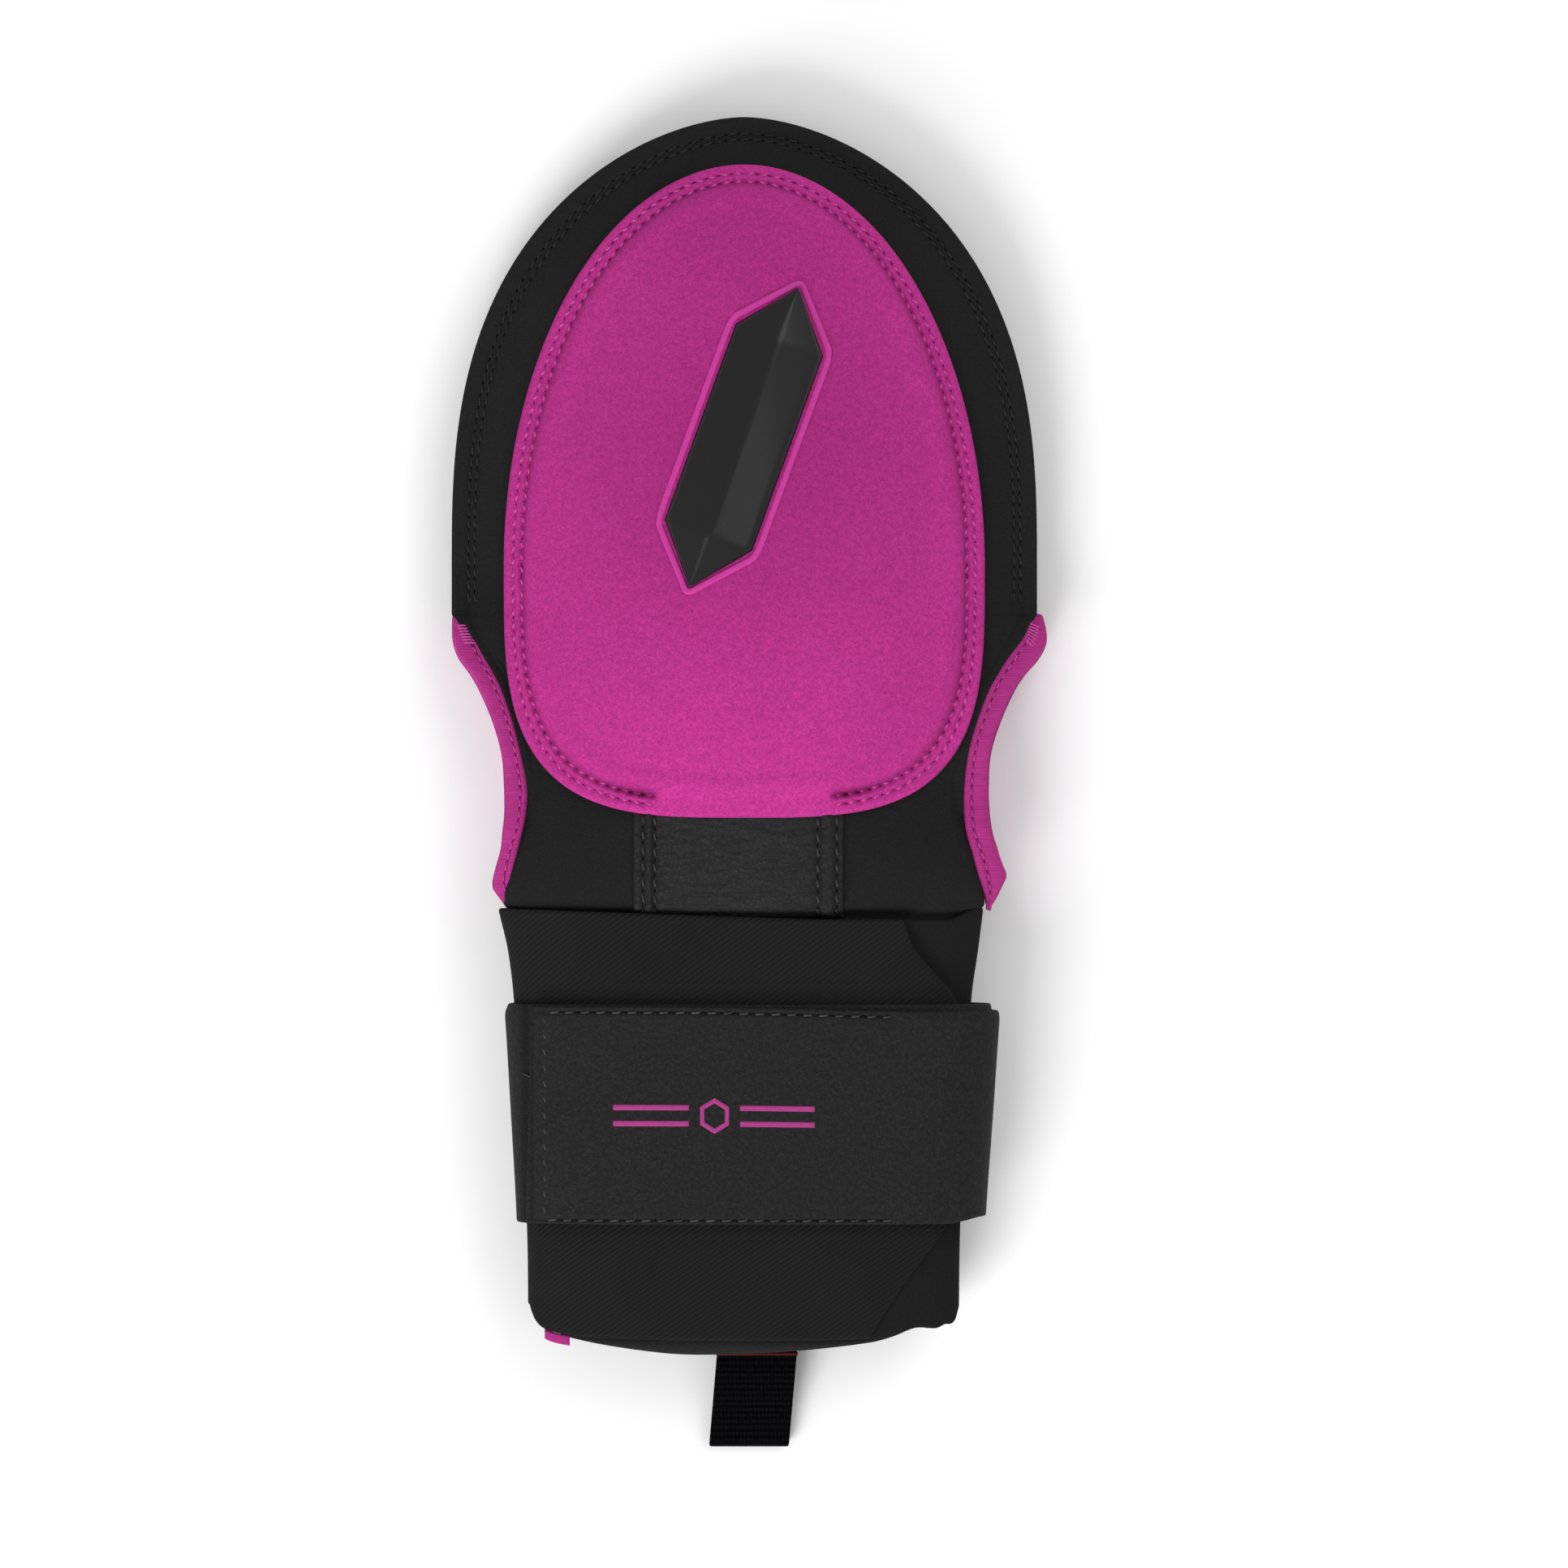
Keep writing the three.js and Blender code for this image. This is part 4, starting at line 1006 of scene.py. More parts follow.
# The bar narrows evenly to its points. Its sides are steep, and from each of them a hyperbola
# rises to the ridge, which is lower where the bar is narrower.
taper = np.clip((1 - np.abs(along)) / BOSS_POINT, 0, 1)
x, y = boss_place(across * taper, along)
seat = pad_top(x, y)
crown = np.sqrt((1 - np.abs(across)) ** 2 + 0.003) - 0.055
rise = BOSS_BASE * (1 - np.abs(across) ** 24) + (BOSS_RIDGE + 1.2) * taper * crown
rubber = cloth_finish(
    "boss_rubber",
    light=(0.008, 0.008, 0.0083),
    dark=(0.004, 0.004, 0.004),
    rough=0.28,
    gloss=0.3,
    rows=[
        {"kind": "noise", "size": 0.02, "dark": 0.2, "rise": 0.0},
        {"kind": "noise", "size": 0.0008, "dark": 0.2, "rise": 0.000008},
    ],
)
boss = cloth_sheet(
    "boss",
    np.stack([x, y, seat + rise], axis=2),
    np.stack([x, y, seat - 0.3], axis=2),
    rubber,
    rim=0.5,
    open_borders="lr",
    flip=True,
)
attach(boss, "root")
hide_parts("pad_boss")
# The rim follows the six corners in straight lines, and the mean of each five points in a
# row rounds its corners.
upper_side = [(0, 1), (1, BOSS_SHOULDER), (1, -BOSS_SHOULDER)]
corners = np.array(upper_side + [(-a, -b) for a, b in upper_side])
share = np.linspace(0, 1, RIM_EDGE_LINES + 1)[:-1, None]
line = np.concatenate([
    a + (b - a) * share for a, b in zip(corners, np.roll(corners, -1, axis=0))
])
line = sum(np.roll(line, step, axis=0) for step in range(-2, 3)) / 5
x, y = boss_place(line[:, 0] * BOSS_RIM_OUT[0], line[:, 1] * BOSS_RIM_OUT[1])
centres = np.stack([x, y, pad_top(x, y) + 0.1], axis=1)
heading = unit_length(np.roll(centres, -1, axis=0) - np.roll(centres, 1, axis=0))
side = unit_length(np.cross(heading, (0, 0, 1)))
rim_pink = thread_finish(
    "rim_pink",
    light=(0.52, 0.034, 0.285),
    dark=(0.3, 0.017, 0.16),
    rough=0.6,
    gloss=0.25,
    size=0.0007,
    share=0.3,
    rise=0.00002,
)
boss_rim = piping(
    "boss_rim",
    centres,
    side * BOSS_RIM,
    unit_length(np.cross(side, heading)) * BOSS_RIM * 0.45,
    rim_pink,
    closed=True,
    squareness=3.0,
)
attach(boss_rim, "root")

# Leather strip: from under the pad's lower edge to the wrist band, with a piped ridge along
# each side, two rows of stitches beside each ridge, and creases across it.
STRIP_HALF = 24.7
STRIP_THICK = 1.8
STRIP_SHIFT = -1.3
STRIP_ROWS = (-0.909, -0.8, 0.756, 0.935)
STRIP_GROOVE = 0.03
STRIP_GROOVE_SHADE = 0.6
STRIP_SEAT = 0.15
STRIP_UNDER_PAD = 1.2
STRIP_FOOT = 0.3
STRIP_SECTION = [
    {"across": -1, "thick": 0.35},
    {"across": -0.96, "thick": 0.6},
    {"across": -0.909, "thick": 0.42},
    {"across": -0.87, "thick": 0.9},
    {"across": -0.84, "thick": 0.9},
    {"across": -0.8, "thick": 0.4},
    {"across": -0.73, "thick": 0.56},
    {"across": 0, "thick": 0.7},
    {"across": 0.68, "thick": 0.56},
    {"across": 0.756, "thick": 0.4},
    {"across": 0.81, "thick": 0.9},
    {"across": 0.88, "thick": 0.95},
    {"across": 0.935, "thick": 0.42},
    {"across": 0.97, "thick": 0.6},
    {"across": 1, "thick": 0.35},
]


def strip_place(across, down):
    """Place of a share across and down the strip, whose upper end follows the curve of the
    pad's lower edge, hidden under it, and whose lower end is straight."""
    x = across * STRIP_HALF + STRIP_SHIFT
    bow = (1 - (np.abs(x) / PAD_HALF) ** PAD_POWER) ** (1 / PAD_POWER)
    top = PAD_WIDEST - PAD_LOWER * bow + STRIP_UNDER_PAD
    return x, top + (STRIP_FOOT - top) * down


# The strip lies on the panel with the thickness of its table, and a bell of painted shade lies
# in the groove of each row of stitches.
down, across = np.meshgrid(np.linspace(0, 1, 70), np.linspace(-1, 1, 200), indexing="ij")
x, y = strip_place(across, down)
seat = panel_height(1, x, y, 0) + STRIP_SEAT
thick = through_rows(STRIP_SECTION, "across", "thick", across) * STRIP_THICK
leather_rows = [
    {"kind": "noise", "size": 0.02, "dark": 0.12, "rise": 0.0},
    {"kind": "pebbles", "size": 0.0008, "dark": 0.4, "rise": 0.00009},
    {"kind": "noise", "size": 0.0009, "detail": 4.0, "dark": 0.5, "rise": 0.00009},
]
groove = sum(bell(across, row, STRIP_GROOVE) for row in STRIP_ROWS)
strip_leather = cloth_finish(
    "strip_leather",
    light=(0.0345, 0.0345, 0.0345),
    dark=(0.006, 0.006, 0.006),
    rough=0.7,
    gloss=0.12,
    rows=[
        # The painted row is the painted shade in the grooves of the rows of stitches.
        {"kind": "painted", "dark": 1.0, "rise": 0.0},
        *leather_rows,
        {
            "kind": "streaks",
            "size": 0.003,
            "stretch": (0.45, 1.7, 1.0),
            "dark": 0.35,
            "rise": 0.0003,
        },
    ],
)
strip = cloth_sheet(
    "strip",
    np.stack([x, y, seat + thick], axis=2),
    np.stack([x, y, seat], axis=2),
    strip_leather,
    rim=0.5,
    flip=True,
    shade=1 - STRIP_GROOVE_SHADE * groove,
)
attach(strip, "root")
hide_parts("wrist_strip")
strip_thread = thread_finish(
    "strip_thread",
    light=(0.052, 0.052, 0.052),
    dark=(0.02, 0.02, 0.02),
    rough=0.6,
    gloss=0.2,
    size=0.002,
    share=0.6,
)
down = np.linspace(0.03, 0.99, 60)
for number, across in enumerate(STRIP_ROWS):
    x, y = strip_place(across, down)
    x = np.full_like(down, x)
    thick = through_rows(STRIP_SECTION, "across", "thick", across) * STRIP_THICK
    z = panel_height(1, x, y, 0) + STRIP_SEAT + thick
    path = np.stack([x, y, z + 0.02], axis=1)
    normals = np.tile((0.0, 0.0, 1.0), (len(path), 1))
    label = f"strip_stitches_{number + 1}"
    stitch_row(label, path, normals, strip_thread, black_hole, pitch=3.3)

# Bindings: pink stretch binding, folded over the cut edges at each side opening and sewn with
# one row of stitches beside the panel and a bar tack at the upper end. Their edges, inner and
# outer, are ways out from the middle of the hand.
BINDING_HALF_THICK = 2.0
BINDING_TILT = 0.4
BINDING_POINTS = 300
BINDING_SEAM = 0.33  # share of the half width from the middle inwards to the stitches
BINDING_SINK = 0.93  # share of the half thickness at which the threads lie
BINDING_SEWN = (16, 138)
PALM_SIDE_OUT = 0.8  # the palm side of a binding is further out than its back
TACK_IN = 0.1  # share of the half width from the middle inwards to the bar tack
BINDING_TOP = OPEN_TOP - 1.9
BINDING_BOTTOM = NECK - 0.6
TACK = (64.0, 68.8)
BINDINGS = {
    "left": [
        {"y": 2.8, "inner": 54.9, "outer": 55.6},
        {"y": 4.2, "inner": 54.8, "outer": 56.5},
        {"y": 8, "inner": 54.4, "outer": 58.5},
        {"y": 11.9, "inner": 53.9, "outer": 58.1},
        {"y": 15.7, "inner": 53.2, "outer": 57.3},
        {"y": 19.6, "inner": 52.5, "outer": 56.9},
        {"y": 25, "inner": 51.5, "outer": 56.4},
        {"y": 31.1, "inner": 51.2, "outer": 56.5},
        {"y": 38.8, "inner": 52.6, "outer": 57.1},
        {"y": 46.5, "inner": 54.5, "outer": 59.2},
        {"y": 54.2, "inner": 57.2, "outer": 62.5},
        {"y": 58, "inner": 59.1, "outer": 64.7},
        {"y": 61.9, "inner": 61.2, "outer": 67.5},
        {"y": 65.7, "inner": 63.2, "outer": 68.9},
        {"y": 69.6, "inner": 66.0, "outer": 69.3},
        {"y": 71.6, "inner": 68.4, "outer": 69.4},
    ],
    "right": [
        {"y": 2.8, "inner": 57.6, "outer": 58.6},
        {"y": 4.2, "inner": 57.0, "outer": 58.6},
        {"y": 8, "inner": 55.6, "outer": 60.1},
        {"y": 10.5, "inner": 54.7, "outer": 61.4},
        {"y": 13, "inner": 54.1, "outer": 60.6},
        {"y": 15.7, "inner": 53.5, "outer": 59.7},
        {"y": 19.6, "inner": 52.5, "outer": 58.4},
        {"y": 25, "inner": 51.9, "outer": 57.6},
        {"y": 31.1, "inner": 51.9, "outer": 57.4},
        {"y": 38.8, "inner": 52.7, "outer": 57.9},
        {"y": 46.5, "inner": 54.8, "outer": 60.2},
        {"y": 54.2, "inner": 57.7, "outer": 63.7},
        {"y": 58, "inner": 59.9, "outer": 66.2},
        {"y": 61.9, "inner": 62.3, "outer": 69.6},
        {"y": 65.7, "inner": 65.4, "outer": 71.4},
        {"y": 69.6, "inner": 67.3, "outer": 71.2},
        {"y": 71.6, "inner": 68.6, "outer": 70.2},
    ],
}
pink_binding = cloth_finish(
    "binding",
    light=(0.44, 0.032, 0.235),
    dark=(0.12, 0.008, 0.06),
    rough=0.8,
    gloss=0.12,
    sheen=0.1,
    coordinates="UV",
    rows=[
        {"kind": "noise", "size": 0.006, "dark": 0.2, "rise": 0.0},
        {"kind": "waves", "size": 0.0007, "across": (0.0, 1.0), "dark": 0.12, "rise": 0.00003},
        {"kind": "noise", "size": 0.0006, "detail": 3.0, "dark": 0.3, "rise": 0.00006},
    ],
)
binding_thread = thread_finish(
    "binding_thread",
    light=(0.5, 0.05, 0.28),
    dark=(0.2, 0.014, 0.11),
    rough=0.6,
    gloss=0.25,
    size=0.003,
    share=0.6,
)
binding_hole = thread_finish(
    "binding_hole",
    light=(0.26, 0.016, 0.14),
    dark=(0.13, 0.008, 0.07),
    rough=1.0,
    gloss=0.0,
    size=0.004,
    share=0.7,
)


def binding_place(side, rows, turn):
    """Middle of the binding at an angle round the opening, and its half width across. The
    cosine goes from its lower to its upper end, and the sine from the palm to the back."""
    y = (BINDING_TOP + BINDING_BOTTOM) / 2 + np.cos(turn) * (BINDING_TOP - BINDING_BOTTOM) / 2
    inner = through_rows(rows, "y", "inner", y)
    outer = through_rows(rows, "y", "outer", y)
    z = seam_height(y) + np.sin(turn) * PANEL_WALL / 2 + np.sign(np.sin(turn)) * gape(y)
    under = PALM_SIDE_OUT * np.clip(-np.sin(turn), 0, 1)
    return np.stack([side * ((inner + outer) / 2 + under), y, z], axis=1), (outer - inner) / 2


def binding_tilt(centres, half, turn):
    """Share of the slope of the panel under the binding, its rise from the binding's middle
    to its inner edge over that way, which eases to none where the two panels meet."""
    out, y = np.abs(centres[:, 0]), centres[:, 1]
    back_rise, palm_rise = (
        panel_height(face, out - half, y, 0) - panel_height(face, out, y, 0) for face in (1, -1)
    )
    ease = np.minimum(1, 2 * np.abs(np.sin(turn)))
    return BINDING_TILT * np.where(np.sin(turn) >= 0, back_rise, palm_rise) / half * ease


for side, label in ((-1, "left"), (1, "right")):
    turn = np.linspace(0, 2 * np.pi, BINDING_POINTS + 1)[:-1]
    rows = BINDINGS[label]
    centres, half = binding_place(side, rows, turn)
    heading = unit_length(
        binding_place(side, rows, turn + 0.01)[0] - binding_place(side, rows, turn - 0.01)[0]
    )
    sideways = np.tile((float(side), 0.0, 0.0), (len(turn), 1))
    sideways[:, 2] = -binding_tilt(centres, half, turn)
    thin = unit_length(np.cross(heading, sideways))
    loop = piping(
        f"binding_{label}",
        centres,
        sideways * half[:, None],
        thin * BINDING_HALF_THICK,
        pink_binding,
        sides=40,
        closed=True,
        squareness=3.6,
        groove=-BINDING_SEAM,
    )
    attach(loop, "root")
    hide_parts(f"thumb_binding_{label}")
    up = np.sign(thin[BINDING_POINTS // 4, 2])
    on_back = np.arange(BINDING_POINTS) < BINDING_POINTS // 2
    tacked = (centres[:, 1] > TACK[0]) & (centres[:, 1] < TACK[1]) & on_back
    lifted = thin * up * BINDING_HALF_THICK * BINDING_SINK
    tack = centres - sideways * half[:, None] * TACK_IN + lifted
    stitch_row(
        f"binding_{label}_tack",
        tack[tacked],
        (thin * up)[tacked],
        pink_thread,
        binding_hole,
        pitch=0.75,
        length=3.4,
        width=0.5,
        rise=0.3,
        slant=2.6,
        hole_size=(0.3, 0.12),
    )
    for number, face in enumerate((1, -1)):
        path = centres - sideways * half[:, None] * BINDING_SEAM + lifted * face
        start = number * BINDING_POINTS // 2
        part = slice(start + BINDING_SEWN[0], start + BINDING_SEWN[1])
        stitch_row(
            f"binding_{label}_stitches_{number + 1}",
            path[part],
            (thin * up * face)[part],
            binding_thread,
            binding_hole,
            pitch=2.6,
            length=1.7,
            width=0.45,
            rise=0.3,
            slant=0.1,
            hole_size=(0.5, 0.22),
        )

# Wrist sleeve: a tube of matt stretch knit under the wrap, sewn to the tucked end of the
# pouch. It shows beside the wrap's slanted end and at its own hem.
HEM_Y = -WRIST_LENGTH
HEM_RISE = 9.0
RIM_RISE = 2.8
SLEEVE_WALL = 2.0
HEM = [
    {"across": -1, "rise": 0.78},
    {"across": -0.83, "rise": 0.41},
    {"across": -0.4, "rise": 0.045},
    {"across": -0.13, "rise": 0},
    {"across": 0.25, "rise": 0.1},
    {"across": 0.59, "rise": 0.31},
    {"across": 0.697, "rise": 0.466},
    {"across": 0.8, "rise": 0.68},
    {"across": 0.9, "rise": 0.66},
    {"across": 0.945, "rise": 0.76},
    {"across": 0.98, "rise": 0.79},
    {"across": 1, "rise": 1.12},
]


def spaced(count, rim):
    """Shares from 0 to 1, evenly spaced but for a few close ones within the share rim of
    each end."""
    lead = rim * np.array([0, 0.08, 0.25, 0.55])
    return np.concatenate([lead, np.linspace(rim, 1 - rim, count), 1 - lead[::-1]])


def wrist_ring(angle, y, distance):
    """Points of the wrist's section, moved outwards along its normal. The section is the
    cosine and sine of the angle from the right side over the top, to a power that squares
    them, times the half width and half height."""
    angle, y, distance = np.broadcast_arrays(angle, y, distance)
    half = wrist_half(y, np.cos(angle) >= 0)
    across = signed_power(np.cos(angle), 2 / RING_POWER)
    up = signed_power(np.sin(angle), 2 / RING_POWER)
    normal_x = signed_power(across, RING_POWER - 1) / half
    normal_z = signed_power(up, RING_POWER - 1) / (WRIST_HEIGHT / 2)
    length = np.hypot(normal_x, normal_z)
    x = across * half + normal_x / length * distance
    z = RING_Z + up * WRIST_HEIGHT / 2 + normal_z / length * distance
    return np.stack([x, y, z], axis=-1)


def wrist_angle(out, y, distance):
    """Angle of the upper side's point that lies a given way out from the middle."""
    half = wrist_half(y, np.asarray(out) >= 0) + distance
    return np.arccos(signed_power(np.clip(out / half, -1, 1), RING_POWER / 2))


def hem_y(x):
    """Hem of the sleeve: its full length, less the rise that the table gives across it."""
    half = wrist_half(HEM_Y, x >= 0)
    return HEM_Y + HEM_RISE * through_rows(HEM, "across", "rise", np.clip(x / half, -1, 1))


def sleeve_face(distance):
    """Grid of the sleeve, a distance outside the wrist's section: rows down it from a rim
    that rises at the right side to the hem, and columns round it."""
    down, angle = np.meshgrid(spaced(60, 0.02), np.linspace(0, 2 * np.pi, 181), indexing="ij")
    x = wrist_ring(angle, HEM_Y * down, 0)[..., 0]
    rim_y = RIM_RISE * smooth_rise(x / WRIST_HALF, 0.86, 0.99)
    return wrist_ring(angle, rim_y + (hem_y(x) - rim_y) * down, distance)


knit = cloth_finish(
    "knit",
    light=(0.022, 0.022, 0.0222),
    dark=(0.004, 0.004, 0.004),
    rough=0.95,
    gloss=0.05,
    rows=[
        {
            "kind": "slope",
            "size": -0.003,
            "start": -0.1305,
            "across": (0.0, 1.0),
            "dark": 0.45,
            "rise": 0.0,
        },
        {"kind": "noise", "size": 0.012, "dark": 0.15, "rise": 0.0},
        {"kind": "noise", "size": 0.0005, "dark": 0.3, "rise": 0.00005},
    ],
)
sleeve = cloth_sheet(
    "sleeve",
    sleeve_face(0),
    sleeve_face(-SLEEVE_WALL),
    knit,
    rim=0.9,
    open_borders="tb",
)
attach(sleeve, "root")
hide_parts("cuff")

# Wrap: a wide band of twill elastic over the sleeve, sewn down at its slanted end on the
# right. It runs over the front, round the left side and along the palm side.
WRAP_WALL = 1.6
WRAP_LIFT = 0.3
WRAP_TURN = np.pi / 2
WRAP_BACK_END = np.radians(330)
WRAP_HEM_Y = HEM_Y + 3.3
WRAP_BOW = 1.3
WRAP_CORNERS = [{"rise": 2.5, "power": 12}, {"rise": 4.0, "power": 60}]
WRAP_TOP_RISE = 2.5
WRAP_TOP_FROM = 0.333
WRAP_OVER_HEM = 1.2
WRAP_END = [
    {"down": 0, "out": 0.67},
    {"down": 0.071, "out": 0.718},
    {"down": 0.178, "out": 0.866},
    {"down": 0.245, "out": 0.9},
    {"down": 0.485, "out": 0.885},
    {"down": 0.7, "out": 0.86},
    {"down": 0.757, "out": 0.83},
    {"down": 0.819, "out": 0.746},
    {"down": 0.923, "out": 0.6125},
    {"down": 1, "out": 0.527},
]


def wrap_hem_y(x):
    """Lower edge of the wrap: a shallow square curve over the front, and two high powers of
    the way out that round its corners."""
    share = np.abs(x) / wrist_half(HEM_Y, x >= 0)
    corner = sum(row["rise"] * np.minimum(1, share) ** row["power"] for row in WRAP_CORNERS)
    return WRAP_HEM_Y + WRAP_BOW * share**2 + corner


def wrap_foot_y(x, angle):
    """Lower edge of the wrap, which on the palm side stays above the sleeve's hem."""
    front = wrap_hem_y(x)
    return np.where(np.sin(angle) < 0, np.maximum(front, hem_y(x) + WRAP_OVER_HEM), front)


def wrap_top_y(x):
    """Upper edge of the wrap: level on the right, then rising evenly to the left side."""
    share = (WRAP_TOP_FROM - x / WRIST_HALF) / (1 + WRAP_TOP_FROM)
    return WRAP_TOP_RISE * np.clip(share, 0, 1)


def wrap_face(distance):
    """Grid of the wrap, a distance outside the wrist's section: rows from its upper to its
    lower edge, and columns from the slanted end's table over the front to the palm side."""
    down = spaced(90, 0.012)[:, None]
    y = WRAP_HEM_Y * down
    start = wrist_angle(through_rows(WRAP_END, "down", "out", down) * WRIST_HALF, y, WRAP_LIFT)
    first = start + (WRAP_TURN - start) * spaced(40, 0.03)[None, :-4]
    second = WRAP_TURN + (WRAP_BACK_END - WRAP_TURN) * np.linspace(0, 1, 130)[None, 1:]
    angle = np.concatenate([first, np.repeat(second, len(down), axis=0)], axis=1)
    x = wrist_ring(angle, y, WRAP_LIFT)[..., 0]
    return wrist_ring(angle, wrap_top_y(x) * (1 - down) + wrap_foot_y(x, angle) * down, distance)


twill = cloth_finish(
    "twill",
    light=(0.0175, 0.0175, 0.0177),
    dark=(0.003, 0.003, 0.003),
    rough=0.9,
    gloss=0.06,
    coordinates="UV",
    rows=[
        {"kind": "noise", "size": 0.02, "dark": 0.15, "rise": 0.0},
        {"kind": "waves", "size": 0.00105, "across": (-0.57, 0.82), "dark": 0.35, "rise": 0.00014},
        {"kind": "noise", "size": 0.0004, "dark": 0.3, "rise": 0.00005},
    ],
)
wrap_outer = wrap_face(WRAP_LIFT + WRAP_WALL)
wrap_run = cloth_run(wrap_outer, 1)
top_column = np.argmin(np.abs(wrap_outer[0, :80, 0]))
wrap_uv = np.stack([wrap_run[:, [top_column]] - wrap_run, wrap_outer[..., 1]], axis=2)
wrap = cloth_sheet("wrap", wrap_outer, wrap_face(WRAP_LIFT), twill, rim=0.8, uv=wrap_uv)
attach(wrap, "root")
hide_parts("elastic_wrap")

# Closure strap: a backing round the wrist and a grained leather face, sewn on its front with
# dark grey thread. On the right side it is slack and stands off the wrap.
STRAP_TOP_Y = -20.0
STRAP_WIDTH = 51.7
STRAP_WALL = 1.2
STRAP_LIFT = WRAP_LIFT + WRAP_WALL + 0.3
FACE_LIFT = STRAP_LIFT + STRAP_WALL + 0.3
STRAP_SLACK = (2.2, 1.1)
SLACK_ARC = np.radians(75)
STRAP_CORNER = 1.4
STRAP_CORNER_ARC = np.radians((8, 32))
STRAP_TOP_HOLD = {"share": 0.4, "reach": 0.045}
STRAP_LEFT_HOLD = 0.03
STRAP_LEFT_SLACK = 0.9
STRAP_LEFT_ARC = np.radians(40)
STRAP_LEFT_END = np.radians(219)
STRAP_BACK_END = np.radians(-140.4)
FACE_LEFT_OUT = -51.3
FACE_RIGHT_END = np.radians(-40)
FACE_SAG = (0.4, 1.2)
FACE_WALL = 1.2
SEAM_SEWN_TO = 36.0
FACE_EDGE_SHADOW = {"out": 0.3, "reach": 1.1, "dark": 0.75}
FACE_GROOVE_AND_SHADE = {"deep": 0.3, "dark": 0.4}
LOOSE_THREAD = {"out": -53.9, "low": 0.315, "run": 2.6, "wave": 0.5, "drop": 0.045, "half": 0.2}
FACE_SEAMS = [
    {"name": "upper", "from": (-49.0, 0.029), "to": (38.0, 0.029), "slant": 0.12},
    {"name": "lower", "from": (-49.0, 0.982), "to": (38.0, 0.982), "slant": 0.12},
    {"name": "left", "from": (-49.4, 0.03), "to": (-49.0, 0.975), "slant": 0.3},
]


def strap_ring(angle, down, distance):
    """Points of the strap at an angle and a share of its width down, a distance outside the
    wrist's section. Squared cosines push out the slack right side, which a bell holds in at
    the upper edge, and the left side below its edge. Where the strap turns round the right
    side, its lower edge rises a little."""
    turned = 1 - smooth_rise(np.abs(angle), STRAP_CORNER_ARC[0], STRAP_CORNER_ARC[1])
    y = STRAP_TOP_Y - down * (STRAP_WIDTH - STRAP_CORNER * turned * smooth_rise(down, 0.6, 1))
    slack = STRAP_SLACK[0] + (STRAP_SLACK[1] - STRAP_SLACK[0]) * down
    near = np.cos(np.clip(angle / SLACK_ARC, -1, 1) * np.pi / 2) ** 2
    near = near * (1 - STRAP_TOP_HOLD["share"] * bell(down, 0, STRAP_TOP_HOLD["reach"]))
    left = np.cos(np.clip((angle - np.pi) / STRAP_LEFT_ARC, -1, 1) * np.pi / 2) ** 2
    left = left * (1 - bell(down, 0, STRAP_LEFT_HOLD))
    return wrist_ring(angle, y, distance + slack * near + STRAP_LEFT_SLACK * left)


def strap_grid(start, end, columns):
    """Rows down the strap and columns from start to end, an angle for each row or one."""
    down = spaced(60, 0.02)[:, None]
    start = np.broadcast_to(start, down.shape)
    return down, start + (end - start) * spaced(columns, 0.008)[None]


strap_leather = cloth_finish(
    "strap_leather",
    light=(0.0242, 0.0242, 0.0242),
    dark=(0.005, 0.005, 0.005),
    rough=0.75,
    gloss=0.1,
    # The painted row carries each sheet's painted shadow or painted shade.
    rows=[{"kind": "painted", "dark": 1.0, "rise": 0.0}, *leather_rows],
)
strap_thread = thread_finish(
    "strap_thread",
    light=(0.055, 0.055, 0.055),
    dark=(0.012, 0.012, 0.012),
    rough=0.6,
    gloss=0.2,
    size=0.005,
    share=0.8,
)
strap_hole = thread_finish(
    "strap_hole",
    light=(0.0125, 0.0125, 0.0125),
    dark=(0.0045, 0.0045, 0.0045),
    rough=1.0,
    gloss=0.0,
    size=0.005,
    share=0.8,
)
down, angle = strap_grid(STRAP_LEFT_END, STRAP_BACK_END, 150)
outer = strap_ring(angle, down, STRAP_LIFT + STRAP_WALL)
# Painted shadow: a dark band on the backing's upper side along the face's left edge.
face_edge_shadow = bell(outer[..., 0], FACE_LEFT_OUT - FACE_EDGE_SHADOW["out"], FACE_EDGE_SHADOW["reach"])
face_edge_shadow = face_edge_shadow * (outer[..., 2] > RING_Z)
strap = cloth_sheet(
    "strap",
    outer,
    strap_ring(angle, down, STRAP_LIFT),
    strap_leather,
    rim=0.6,
    shade=1 - FACE_EDGE_SHADOW["dark"] * face_edge_shadow,
)
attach(strap, "root")
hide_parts("closure_strap")


def face_low(out, low):
    """Share down the strap of a share down the face, whose upper edge sags in an S towards the
    right while its lower edge stays."""
    sag = FACE_SAG[0] + FACE_SAG[1] * smooth_rise(out, -20, 50)
    return low + (1 - low) * sag / STRAP_WIDTH


def face_point(out, low, distance):
    """Point of the face a way out from the middle and a share down it."""
    at = wrist_angle(out, STRAP_TOP_Y - low * STRAP_WIDTH, FACE_LIFT + FACE_WALL)
    return strap_ring(at, face_low(out, low), distance)


